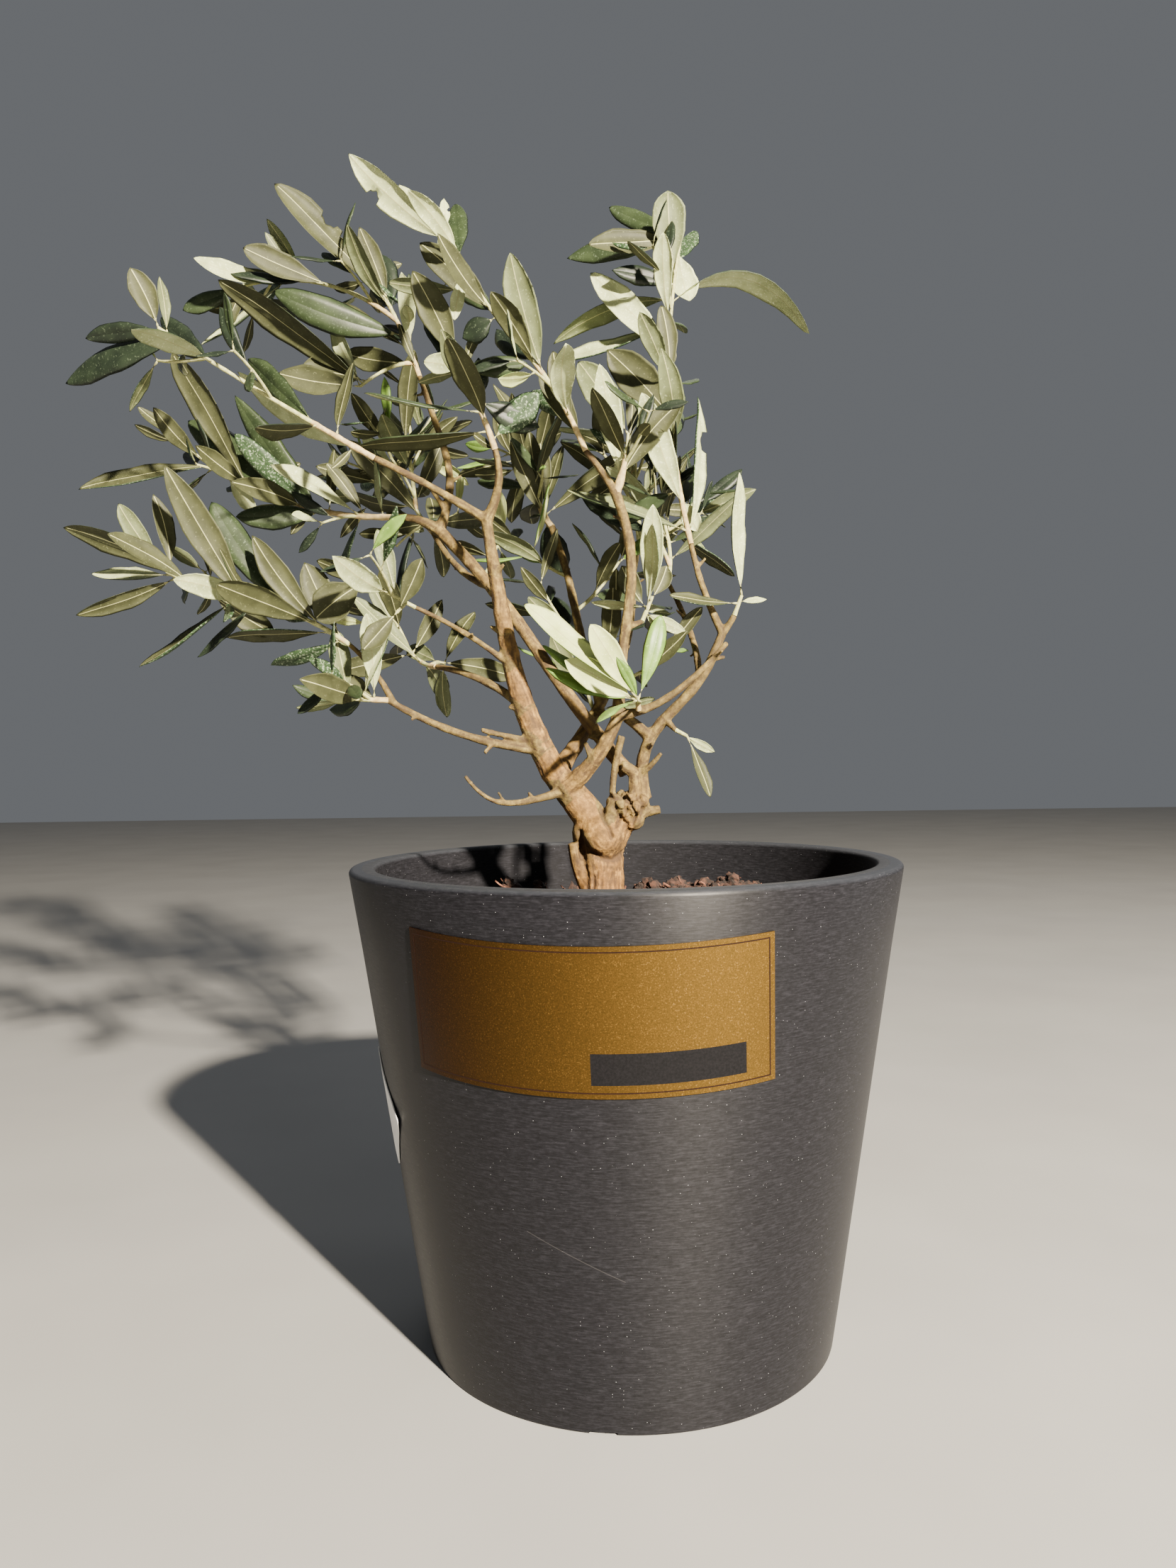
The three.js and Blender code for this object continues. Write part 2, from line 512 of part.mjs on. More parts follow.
// Side twigs of a spray's main twig, dealt round it by the golden angle
function forksOf(main, forks, seed) {
  const list = [];
  for (let k = 0; k < forks; k += 1) {
    const at = mix(forkPlaces, k / (forks - 1));
    const along = headingOn(main, at);
    const [left, depth] = acrossOf(along);
    const roll = radians(goldenAngle * (k + seed));
    const spread = radians(forkSpread);
    const heading = along.multiplyScalar(Math.cos(spread))
      .addScaledVector(left, Math.sin(spread) * Math.cos(roll))
      .addScaledVector(depth, Math.sin(spread) * Math.sin(roll));
    const from = pointOn(main, at);
    const to = from.clone().addScaledVector(heading, lengthOf(main) * mix(forkLengths, at));
    list.push({
      from: from.toArray(), to: to.toArray(), bow: [0, 0, forkSag], pairs: forkPairs, leaves: [],
    });
  }
  return list;
}

// Every twig of a spray, with where it starts
function twigsOf(spray, start, seed) {
  const [first, ...others] = spray.twigs;
  const main = { ...first, from: start };
  const side = others.map((twig) => ({ ...twig, from: pointOn(main, twig.at).toArray() }));
  return [main, ...side, ...forksOf(main, spray.forks ?? 0, seed)];
}

// Every leaf of a spray, as a maker of its attempts: the ones seen from the front, then the
// pairs. Where a twig has leaves seen from the front, its pairs point fore and aft; elsewhere
// they alternate crosswise.
function leavesOf(twigs, seed) {
  const leaves = [];
  for (const twig of twigs) {
    for (const seen of twig.leaves) {
      const count = leaves.length;
      leaves.push({ seen: true, make: (attempt) => seenLeaf(twig, seen, seed, count, attempt) });
    }
    const pairs = twig.pairs ?? 0;
    const crossed = twig.leaves.length === 0;
    for (let k = 0; k < pairs; k += 1) {
      const roll = Math.PI / 2 + (crossed ? (Math.PI / 2) * k + seed : chance(seed, k) - 0.5);
      const place = mix([firstLeafGap / lengthOf(twig), 1], (k + (crossed ? 1 : 0.5)) / pairs);
      for (const side of [1, -1]) {
        const count = leaves.length;
        leaves.push({ make: (attempt) => pairedLeaf(twig, place, roll, side, seed, count, attempt) });
      }
    }
  }
  return leaves;
}

const touches = (a, b) => a.intersect(b).volume() > 0;

// The same leaf from a little way out, so that it is clear of its own twig
function withoutRoot(leaf) {
  const heading = leaf.tip.clone().sub(leaf.root).normalize();
  return { ...leaf, root: leaf.root.clone().addScaledVector(heading, freeRoot) };
}

const material = (color, roughness, metalness = 0) =>
  new THREE.MeshStandardMaterial({ color, roughness, metalness });
const finish = {
  pot: material(0x3f3e40, 0.6),
  soil: material(0x6b4632, 1),
  goldLabel: material(0xa8742a, 0.4, 0.8),
  sticker: material(0xd9dadb, 0.7),
  bark: material(0xa98a62, 0.9),
  leaf: material(0x7f8a66, 0.6),
};

const tree = new THREE.Group();
tree.add(meshOf('pot', buildPot(), finish.pot));
tree.add(meshOf('compost', buildSoil(), finish.soil));
tree.add(meshOf('gold_label',
  wrappedSheet(labelWidth, labelHeight, labelMiddle, labelBearing), finish.goldLabel));
tree.add(meshOf('side_sticker',
  wrappedSheet(stickerWidth, stickerHeight, stickerMiddle, stickerBearing), finish.sticker));
tree.add(meshOf('trunk', buildTrunk(), finish.bark));

// Each bough is cut back to clear the trunk and the boughs before it
const placed = {};
let woodRoom = buildTrunk(gap);
for (const plan of boughs) {
  const from = plan.from ?? pointOn(placed[plan.on], plan.at).toArray();
  const bough = { ...plan, from };
  if (plan.stub) {
    bough.stub = { ...plan.stub, from: pointOn(bough, plan.stub.at).toArray(), bow: [0, 0, 0] };
  }
  placed[plan.name] = bough;
  tree.add(meshOf(plan.name, mainShell(buildBough(bough).subtract(woodRoom)), finish.bark));
  woodRoom = woodRoom.add(buildBough(bough, gap));
}

// Twigs of every spray come first, so that leaves can be kept off all of them
const grown = sprays.map((spray, seed) => {
  const bough = placed[spray.on];
  const start = spray.at === 'stub' ? bough.stub.to : bough.to;
  const twigs = twigsOf(spray, start, seed + 1);
  const stem = (swell) => twigs
    .map((twig) => limb(twig, (t) => mix(twigGirth, t), twigSides, twigStep, swell))
    .reduce((a, b) => a.add(b));
  return {
    name: spray.name, twigs, seed: seed + 1, stem: mainShell(stem(0).subtract(woodRoom)), room: stem(gap),
  };
});

// A leaf that touches a limb, another spray's twigs or another spray's leaves is left out, and
// so is one of a pair that crosses a leaf of its own spray
const finished = [];
for (const spray of grown) {
  const others = grown.filter((other) => other !== spray).map(({ room }) => room);
  const outside = [woodRoom, ...finished, ...others].reduce((a, b) => a.add(b));
  let solid = spray.stem;
  for (const { seen, make } of leavesOf(spray.twigs, spray.seed)) {
    let spare = null;
    let chosen = null;
    for (let attempt = 0; attempt < attempts && !chosen; attempt += 1) {
      const leaf = make(attempt);
      if (touches(buildLeaf(leaf, gap), outside)) continue;
      if (touches(buildLeaf(withoutRoot(leaf)), solid)) spare ??= leaf;
      else chosen = leaf;
    }
    if (seen) chosen ??= spare;
    if (chosen) solid = solid.add(buildLeaf(chosen));
  }
  finished.push(mainShell(solid));
  tree.add(meshOf(spray.name, finished.at(-1), finish.leaf));
}

export default tree;
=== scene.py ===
import math
from functools import partial
import bmesh
import bpy
from mathutils import Matrix, Vector, noise
from mathutils.bvhtree import BVHTree
from mathutils.kdtree import KDTree


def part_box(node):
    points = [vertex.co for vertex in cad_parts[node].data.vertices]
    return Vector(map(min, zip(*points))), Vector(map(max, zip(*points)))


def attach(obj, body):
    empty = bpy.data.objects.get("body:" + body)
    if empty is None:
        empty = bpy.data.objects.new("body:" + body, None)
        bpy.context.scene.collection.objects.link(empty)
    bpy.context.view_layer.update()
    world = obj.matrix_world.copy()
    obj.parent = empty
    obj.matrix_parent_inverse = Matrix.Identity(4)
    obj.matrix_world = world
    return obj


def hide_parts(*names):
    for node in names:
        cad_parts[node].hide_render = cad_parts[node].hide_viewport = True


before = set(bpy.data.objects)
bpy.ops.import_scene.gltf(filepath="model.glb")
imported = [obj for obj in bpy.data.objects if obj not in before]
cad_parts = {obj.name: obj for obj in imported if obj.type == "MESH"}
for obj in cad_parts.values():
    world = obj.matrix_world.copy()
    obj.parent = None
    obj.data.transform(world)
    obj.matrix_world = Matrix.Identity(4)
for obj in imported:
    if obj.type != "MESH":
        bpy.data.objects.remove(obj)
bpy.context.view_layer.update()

# A small olive tree in a graphite pot. The plan is in millimetres, the finished meshes in metres.
mm = 0.001


def linearOf(hexColour):  # sRGB hex to the linear colour that the shaders take
    parts = [int(hexColour[i:i + 2], 16) / 255 for i in (1, 3, 5)]
    return [p / 12.92 if p <= 0.04045 else ((p + 0.055) / 1.055) ** 2.4 for p in parts] + [1]


def perMetre(sizeMm):  # a pattern's scale from the real size of one of its features
    return 1 / (sizeMm * mm)


# Nodes. A node's settings are its properties, input values and links; where another node stands as a
# value, its first output in use is linked.

def fill(node, settings):
    for key, value in settings.items():
        if isinstance(value, bpy.types.Node):
            value = next(output for output in value.outputs if output.enabled)
        if key == "stops":
            ramp = node.color_ramp.elements
            while len(ramp) < len(value):
                ramp.new(0.5)
            for stop, (place, colour) in zip(ramp, value):
                stop.position = place
                stop.color = linearOf(colour)
        elif isinstance(key, str) and key in node.bl_rna.properties:
            setattr(node, key, value)
        elif isinstance(value, bpy.types.NodeSocket):
            node.id_data.links.new(value, node.inputs[key])
        else:
            node.inputs[key].default_value = value
    return node


def addNode(tree, kind, settings=None):
    return fill(tree.nodes.new(kind), settings or {})


def mathNode(tree, operation, *values):
    return addNode(tree, "ShaderNodeMath", {"operation": operation, **dict(enumerate(values))})


def vectorNode(tree, operation, *values):
    return addNode(tree, "ShaderNodeVectorMath", {"operation": operation, **dict(enumerate(values))})


def rangeNode(tree, value, low, high, toLow, toHigh):
    return addNode(tree, "ShaderNodeMapRange", dict(enumerate((value, low, high, toLow, toHigh))))


def noiseNode(tree, place, size, detail, roughness=0.5):
    return addNode(tree, "ShaderNodeTexNoise", {"Vector": place, "Scale": perMetre(size), "Detail": detail,
                                                "Roughness": roughness})


def toneNode(tree, value, *stops):
    return addNode(tree, "ShaderNodeValToRGB", {"stops": stops, "Fac": value})


def mixNode(tree, factor, under, hexColour, blend="MIX"):
    return addNode(tree, "ShaderNodeMix", {"data_type": "RGBA", "blend_type": blend, 0: factor, 6: under,
                                           7: linearOf(hexColour)})


def bumpNode(tree, height, strength, depth):
    return addNode(tree, "ShaderNodeBump", {"Height": height, "Strength": strength, "Distance": depth * mm})


def axesOf(tree, place):
    return addNode(tree, "ShaderNodeSeparateXYZ", {0: place}).outputs


# Finishes

def newFinish(name, settings):  # a material with its main shader and the object's own coordinates
    finish = bpy.data.materials.new(name)
    finish.use_nodes = True
    tree = finish.node_tree
    shader = fill(tree.nodes["Principled BSDF"], settings)
    return finish, tree, shader, addNode(tree, "ShaderNodeTexCoord").outputs["Object"]


def makeMottled(name, settings, size, detail, *stops, bump=None):  # one soft noise for tone and relief
    finish, tree, shader, place = newFinish(name, settings)
    mottle = noiseNode(tree, place, size, detail)
    fill(shader, {"Base Color": toneNode(tree, mottle, *stops)})
    if bump:
        fill(shader, {"Normal": bumpNode(tree, mottle, *bump)})
    return finish


def makeComposite():  # moulded stone-filled plastic, brushed: matt graphite, fine level streaks, pale grit
    finish, tree, shader, place = newFinish("graphiteComposite", {
        "Specular IOR Level": 0.2, "Anisotropic": 0.6, "Anisotropic Rotation": 0.25})
    layers = []
    for sizes in ((4, 4, 0.5), (1.4, 1.4, 0.9)):
        drawn = addNode(tree, "ShaderNodeMapping", {"Vector": place, "Scale": [perMetre(s) for s in sizes]})
        layers.append(addNode(tree, "ShaderNodeTexNoise", {"Vector": drawn, "Scale": 1, "Detail": 4,
                                                           "Roughness": 0.6}))
    streak = mathNode(tree, "MULTIPLY_ADD", layers[1], 0.45, layers[0])
    colour = toneNode(tree, streak, (0.5, "#0a0a0d"), (0.72, "#121216"), (0.95, "#1d1d22"))
    across, inward, height = axesOf(tree, place)
    rimTopTint = rangeNode(tree, height, 0.1885, 0.19, 0, 0.18)  # a lighter bluish grey, only on top of the rim
    colour = mixNode(tree, rimTopTint, colour, "#565c66")
    cells = addNode(tree, "ShaderNodeTexVoronoi", {"Vector": place, "Scale": perMetre(1.3)})
    chosen = addNode(tree, "ShaderNodeSeparateColor", {0: cells.outputs["Color"]})
    grit = mathNode(tree, "LESS_THAN", cells, rangeNode(tree, chosen, 0.58, 1, 0, 0.12))
    colour = mixNode(tree, grit, colour, "#6c6e73")
    # a long faint scratch slants down across the lower front
    offLine = mathNode(tree, "ADD", mathNode(tree, "MULTIPLY_ADD", across, 0.47, -0.0566), height)
    near = mathNode(tree, "COMPARE", offLine, 0, 0.00018)
    along = mathNode(tree, "COMPARE", across, -0.018, 0.0165)
    facing = mathNode(tree, "LESS_THAN", inward, 0)
    scratch = mathNode(tree, "MULTIPLY", mathNode(tree, "MULTIPLY", near, along), facing)
    colour = mixNode(tree, mathNode(tree, "MULTIPLY", scratch, 0.11), colour, "#6c6a6c")
    # the inner wall is dull with dried splashes
    away = vectorNode(tree, "LENGTH", vectorNode(tree, "MULTIPLY", place, (1, 1, 0)))
    inside = mathNode(tree, "LESS_THAN", mathNode(tree, "MULTIPLY_ADD", height, -0.15, away), 0.0765)
    rough = mathNode(tree, "MULTIPLY_ADD", inside, 0.5, rangeNode(tree, streak, 0.45, 1, 0.4, 0.5))
    around = addNode(tree, "ShaderNodeTangent", {"direction_type": "RADIAL", "axis": "Z"})
    fill(shader, {"Base Color": colour, "Roughness": rough, "Normal": bumpNode(tree, streak, 0.25, 0.1),
                  "Tangent": around})
    return finish


def makeGoldFilm():  # satin gold foil, printed: a warm metal lustre with a fine glitter, and painted shade towards its left end
    finish, tree, shader, place = newFinish("goldFilm", {"Metallic": 0.9, "Roughness": 0.36})
    grain = noiseNode(tree, place, 0.5, 3)
    tone = toneNode(tree, grain, (0.3, "#5c481e"), (0.6, "#735726"), (0.8, "#b08c4c"))
    # painted shade: the foil's colour is darkened towards its left end, as if the light came from the right
    paintedLeftShade = rangeNode(tree, axesOf(tree, place)["X"], -0.07, 0.035, 1, 0)
    fill(shader, {"Base Color": mixNode(tree, paintedLeftShade, tone, "#6d5546", "MULTIPLY"),
                  "Normal": bumpNode(tree, grain, 0.35, 0.1)})
    return finish


def makeBark():  # olive bark: tan, paler on young limbs, darker in its cracks (their own darker bark, plus painted shade in creases and crevices), rusty at the foot
    finish, tree, shader, place = newFinish("oliveBark", {"Roughness": 0.85, "IOR": 1.4})
    relief, thin = [addNode(tree, "ShaderNodeAttribute", {"attribute_name": name}).outputs["Fac"]
                    for name in ("relief", "thin")]
    mottle = noiseNode(tree, place, 3.5, 6, 0.65)
    colour = toneNode(tree, mottle, (0.3, "#453319"), (0.5, "#6c5028"), (0.72, "#9c7a41"))
    colour = mixNode(tree, thin, colour, "#d6f0fa", "MULTIPLY")
    # darker where the relief is low: partly the cracks' own darker bark, partly painted shade in the creases
    # and burr crevices
    colour = mixNode(tree, rangeNode(tree, relief, 0.16, 0.5, 0.78, 0), colour, "#38291a")
    foot = rangeNode(tree, axesOf(tree, place)["Z"], 0.168, 0.196, 0.5, 0)
    colour = mixNode(tree, foot, colour, "#f3bb7c", "MULTIPLY")
    grain = noiseNode(tree, place, 1.8, 4)
    fill(shader, {"Base Color": colour, "Normal": bumpNode(tree, grain, 0.8, 0.5)})
    return finish


def makeLeafSkin(name, dark, light, fleck, share, roughness):  # one side of a leaf: leathery, scaly flecks
    finish, tree, shader, place = newFinish(name, {"Roughness": roughness, "IOR": 1.45,
                                                   "Specular IOR Level": 0.25})
    cloud = noiseNode(tree, place, 7, 3)
    tone = toneNode(tree, cloud, (0.35, dark), (0.65, light))
    dots = rangeNode(tree, noiseNode(tree, place, 0.9, 2, 0.6), share, share + 0.1, 0, 0.8)
    fill(shader, {"Base Color": mixNode(tree, dots, tone, fleck), "Normal": bumpNode(tree, cloud, 0.35, 0.4)})
    return finish


def makeCompost(name, dark, light):  # peat and bark fibre: dry, crumbly, red-brown
    finish, tree, shader, place = newFinish(name, {"Roughness": 0.95})
    lumps, clods = noiseNode(tree, place, 1.4, 5), noiseNode(tree, place, 3.2, 2)
    mixed = mathNode(tree, "MULTIPLY_ADD", lumps, 0.5, clods)
    fill(shader, {"Base Color": toneNode(tree, mixed, (0.66, dark), (0.9, light)),
                  "Normal": bumpNode(tree, lumps, 0.9, 0.5)})
    return finish


composite = makeComposite()
goldFilm = makeGoldFilm()
# thermal print on foil: flat, with a slight gloss, blue-black in the panel and dark brown in the lines
printed = {"Roughness": 0.5, "Specular IOR Level": 0.12}
panelInk = makeMottled("panelInk", printed, 0.8, 2, (0.3, "#08080a"), (0.8, "#121114"))
lineInk = makeMottled("lineInk", printed, 0.8, 2, (0.3, "#160a05"), (0.8, "#1f0f08"))
# coated sticker paper: cool white, a little greyed by weather
stickerPaper = makeMottled("stickerPaper", {"Roughness": 0.55}, 14, 5, (0.3, "#c9cbcd"), (0.65, "#e6e7e8"))
oliveBark = makeBark()
# thin twigs: smooth young bark, finely flecked, and greener on the shoots
young = {"Roughness": 0.7, "IOR": 1.4}
twigBark = makeMottled("twigBark", young, 1.8, 4, (0.35, "#8f7c52"), (0.65, "#b7a475"), bump=(0.4, 0.15))
shootBark = makeMottled("shootBark", young, 1.8, 4, (0.35, "#878a56"), (0.65, "#adae7b"), bump=(0.4, 0.15))
peat = makeCompost("peat", "#180e0a", "#40281e")
fibre = makeCompost("barkFibre", "#4b2d20", "#835744")
leafRib = makeLeafSkin("leafRib", "#8b8c62", "#9d9d72", "#adab84", 0.6, 0.55)
undersides = {  # felted and matt: one underside in a lit silver, a half-shaded grey and a shaded olive copy, the darker two painted shade
    "silver": makeLeafSkin("undersideSilverLit", "#8a936a", "#a2ab7f", "#bec5a0", 0.58, 0.55),
    "grey": makeLeafSkin("undersideGreyHalfShaded", "#4f563a", "#616949", "#7c8463", 0.6, 0.55),
    "olive": makeLeafSkin("undersideOliveShaded", "#30331f", "#3e412a", "#575a40", 0.62, 0.58),
    "young": makeLeafSkin("undersideYoung", "#97a266", "#aab47c", "#bdc594", 0.6, 0.58),
}
uppers = {  # smooth and darker, the flecked one grey with scales, the young one fresh green
    "dark": makeLeafSkin("upperDark", "#151c15", "#1f281d", "#3e4839", 0.6, 0.43),
    "green": makeLeafSkin("upperGreen", "#212b1a", "#2d3823", "#4d5944", 0.6, 0.43),
    "flecked": makeLeafSkin("upperFlecked", "#22331e", "#2e4128", "#7c8a72", 0.54, 0.55),
    "young": makeLeafSkin("upperYoung", "#4f6b2c", "#66833c", "#8aa35c", 0.62, 0.38),
}
print("finishes made:", len(bpy.data.materials))


# What every piece goes through

def linked(name, data):  # a new object in the scene
    made = bpy.data.objects.new(name, data)
    bpy.context.collection.objects.link(made)
    return made


def pieceFrom(name, verts, faces, finishes, faceFinish=None, smooth=True):
    mesh = bpy.data.meshes.new(name)
    mesh.from_pydata([tuple(v) for v in verts], [], faces)
    for finish in finishes:
        mesh.materials.append(finish)
    if faceFinish:
        mesh.polygons.foreach_set("material_index", faceFinish)
    if smooth:
        mesh.shade_smooth()
    return linked(name, mesh)


def plainMesh(piece):  # what the modifiers make of a piece becomes its own plain mesh
    bpy.context.view_layer.update()
    shape = piece.evaluated_get(bpy.context.evaluated_depsgraph_get())
    made = bpy.data.meshes.new_from_object(shape)
    piece.modifiers.clear()
    piece.data = made


def settle(piece, slot, *nodes):  # hand a finished piece to the frame
    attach(piece, "root")
    if nodes:
        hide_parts(*nodes)
    print(piece.name, "ready:", len(piece.data.polygons), "faces")


def newNodeTree(name, inputs):  # a Geometry Nodes tree with named inputs, and what it is given
    tree = bpy.data.node_groups.new(name, "GeometryNodeTree")
    for label, kind in {"Geometry": "Geometry", **inputs}.items():
        tree.interface.new_socket(label, in_out="INPUT", socket_type="NodeSocket" + kind)
    tree.interface.new_socket("Geometry", in_out="OUTPUT", socket_type="NodeSocketGeometry")
    return tree, addNode(tree, "NodeGroupInput").outputs


def useNodeTree(piece, tree, values):  # a modifier's inputs are set by the identifier of their socket
    modifier = piece.modifiers.new(tree.name, "NODES")
    modifier.node_group = tree
    for item in tree.interface.items_tree:
        if item.in_out == "INPUT" and item.name in values:
            modifier[item.identifier] = values[item.name]
    plainMesh(piece)


def spun(x, y, angle):
    return x * math.cos(angle) - y * math.sin(angle), x * math.sin(angle) + y * math.cos(angle)


def ringRound(radius, sides):  # points round the axis, from the front
    return [spun(0, -radius, 2 * math.pi * k / sides) for k in range(sides)]


def closedRings(first, rings, last, downward=False):  # a closed surface from pole to pole over its rings
    sides = len(rings[0])
    points = [first] + [point for ring in rings for point in ring] + [last]
    faces = []
    for k in range(sides):
        after = (k + 1) % sides
        faces.append((0, 1 + after, 1 + k))
        for a in range(1, 1 + (len(rings) - 1) * sides, sides):
            faces.append((a + k, a + after, a + sides + after, a + sides + k))
        lastRing = 1 + (len(rings) - 1) * sides
        faces.append((lastRing + k, lastRing + after, len(points) - 1))
    if downward:
        faces = [face[:1] + face[:0:-1] for face in faces]
    return [(x * mm, y * mm, z * mm) for x, y, z in points], faces


# Pot, a straight cone turned on a lathe profile, with four drain notches under its foot

pot = {
    "height": 190, "rimRadius": 110, "footRadius": 81.5, "wall": 10.4, "floor": 9,
    "rimRounding": 1.8, "footRounding": 1, "sides": 256, "arcSteps": 6, "footSteps": 3, "rowEvery": 20,
    "notches": 4, "notchWidth": 10, "notchHeight": 1.1, "notchDepth": 9, "notchBearing": -7,
    "rimClear": 10, "sharpFrom": 35,
}
potSlope = (pot["rimRadius"] - pot["footRadius"]) / pot["height"]


def quarter(x, y, radius, fromDegrees, steps):
    turns = [math.radians(fromDegrees + 90 * i / steps) for i in range(steps + 1)]
    return [(x + radius * math.cos(a), y + radius * math.sin(a)) for a in turns]


def makePot(p):
    inner = p["footRadius"] + potSlope * p["floor"] - p["wall"]
    rounding, underRim = p["rimRounding"], p["height"] - p["rimRounding"]
    profile = quarter(p["footRadius"] - p["footRounding"], p["footRounding"], p["footRounding"], -90,
                      p["footSteps"])
    profile += [(p["footRadius"] + potSlope * z, z)
                for z in range(p["rowEvery"], p["height"] - p["rimClear"], p["rowEvery"])]
    profile += quarter(p["rimRadius"] - rounding, underRim, rounding, 0, p["arcSteps"])
    profile += quarter(p["rimRadius"] - p["wall"] + rounding, underRim, rounding, 90, p["arcSteps"])
    profile += [(inner, p["floor"])]
    rings = [[(x, y, height) for x, y in ringRound(radius, p["sides"])] for radius, height in profile]
    shell = pieceFrom("potShell", *closedRings((0, 0, 0), rings, (0, 0, p["floor"])), [composite])
    cuts = bmesh.new()
    for i in range(p["notches"]):
        turn = math.radians(p["notchBearing"] + 360 / p["notches"] * i)
        for v in bmesh.ops.create_cube(cuts, size=1)["verts"]:
            x, y = spun(v.co.x * p["notchWidth"], v.co.y * 2 * p["notchDepth"] - p["footRadius"], turn)
            v.co = Vector((x, y, v.co.z * 2 * p["notchHeight"])) * mm
    cutMesh = bpy.data.meshes.new("notchCuts")
    cuts.to_mesh(cutMesh)
    cuts.free()
    cutter = linked("notchCuts", cutMesh)
    cut = shell.modifiers.new("notches", "BOOLEAN")
    cut.operation, cut.object, cut.solver = "DIFFERENCE", cutter, "EXACT"
    plainMesh(shell)
    bpy.data.objects.remove(cutter)
    shell.data.shade_smooth()
    shell.data.set_sharp_from_angle(angle=math.radians(p["sharpFrom"]))
    settle(shell, "pot", "pot")


makePot(pot)


# Labels, thin sheets wrapped on the cone; u runs to the right round it, v up it

goldLabel = {"width": 130, "height": 51.3, "middle": 147.2, "bearing": -8.2, "lift": 0.3, "thickness": 0.5,
             "columns": 120, "rows": 24, "border": 1.7, "line": 0.45, "print": 0.06,
             "panel": (2.8, 54.2, -21, -10.2)}
sideSticker = {"width": 36, "height": 27, "middle": 101, "bearing": -78, "lift": 0.3, "thickness": 0.4,
               "columns": 40, "rows": 34, "turn": -37, "front": (28, -3), "curl": 0.7, "curlFrom": 1.3,
               "curlPower": 1.6}


def onCone(u, v, lift, plan):  # a point of a flat sheet once it is wrapped round the pot
    if "turn" in plan:  # stuck on askew: its corner towards the front is put in place, then the sheet turned
        u, v = spun(u - plan["width"] / 2, v - plan["height"] / 2, math.radians(plan["turn"]))
        u, v = plan["front"][0] + u, plan["front"][1] + v
    slope = math.atan(potSlope)
    middleSlant = (pot["footRadius"] + potSlope * plan["middle"]) / math.sin(slope)
    apex = plan["middle"] - middleSlant * math.cos(slope)
    slant = math.hypot(u, middleSlant + v)
    turn = math.radians(plan["bearing"]) + math.atan2(u, middleSlant + v) / math.sin(slope)
    radius = slant * math.sin(slope) + lift * math.cos(slope)
    height = apex + slant * math.cos(slope) - lift * math.sin(slope)
    return Vector((radius * math.sin(turn), -radius * math.cos(turn), height)) * mm


def sheetBetween(box, lifts, plan, columns, rows, curl=None):  # a closed sheet, its under and upper side
    left, right, low, high = box
    verts, faces = [], []
    for lift in lifts:
        for j in range(rows + 1):
            for i in range(columns + 1):
                u, v = left + (right - left) * i / columns, low + (high - low) * j / rows
                verts.append(onCone(u, v, lift + (curl(u, v) if curl else 0), plan))

    def at(i, j, side):
        return (side * (rows + 1) + j) * (columns + 1) + i
    for j in range(rows):
        for i in range(columns):
            faces.append((at(i, j, 1), at(i + 1, j, 1), at(i + 1, j + 1, 1), at(i, j + 1, 1)))
            faces.append((at(i, j, 0), at(i, j + 1, 0), at(i + 1, j + 1, 0), at(i + 1, j, 0)))
    for i in range(columns):
        faces.append((at(i, 0, 0), at(i + 1, 0, 0), at(i + 1, 0, 1), at(i, 0, 1)))
        faces.append((at(i, rows, 1), at(i + 1, rows, 1), at(i + 1, rows, 0), at(i, rows, 0)))
    for j in range(rows):
        faces.append((at(0, j, 1), at(0, j + 1, 1), at(0, j + 1, 0), at(0, j, 0)))
        faces.append((at(columns, j, 0), at(columns, j + 1, 0), at(columns, j + 1, 1), at(columns, j, 1)))
    return verts, faces


def wholeSheet(p, curl=None):
    halfU, halfV = p["width"] / 2, p["height"] / 2
    return sheetBetween((-halfU, halfU, -halfV, halfV), (p["lift"], p["lift"] + p["thickness"]), p,
                        p["columns"], p["rows"], curl)


def makeGoldLabel(p):
    film = pieceFrom("goldLabelFilm", *wholeSheet(p), [goldFilm], smooth=False)
    settle(film, "gold_label", "gold_label")
    outU, outV = p["width"] / 2 - p["border"], p["height"] / 2 - p["border"]
    inU, inV = outU - p["line"], outV - p["line"]
    top = p["lift"] + p["thickness"]
    lines = [(-outU, outU, inV, outV), (-outU, outU, -outV, -inV), (-outU, -inU, -inV, inV),
             (inU, outU, -inV, inV)]
    verts, faces, inks = [], [], []
    for strip in lines + [p["panel"]]:
        columns = max(1, round((strip[1] - strip[0]) / p["width"] * p["columns"]))
        rows = max(1, round((strip[3] - strip[2]) / p["height"] * p["rows"]))
        more, moreFaces = sheetBetween(strip, (top - p["print"], top + p["print"]), p, columns, rows)
        faces += [[k + len(verts) for k in face] for face in moreFaces]
        verts += more
        inks += [0 if strip in lines else 1] * len(moreFaces)
    settle(pieceFrom("goldLabelPrint", verts, faces, [lineInk, panelInk], inks, smooth=False), "gold_label")


def makeSideSticker(p):
    def curl(u, v):  # the corner near the front has come away a little
        corner = u / (p["width"] / 2) + v / (p["height"] / 2)
        return p["curl"] * max(0, (corner - p["curlFrom"]) / (2 - p["curlFrom"])) ** p["curlPower"]
    paper = pieceFrom("sideStickerPaper", *wholeSheet(p, curl), [stickerPaper], smooth=False)
    settle(paper, "sticker", "side_sticker")


makeGoldLabel(goldLabel)
makeSideSticker(sideSticker)


# Compost: a rough bed, heaped behind the trunk, strewn with clods, crumbs and fibres

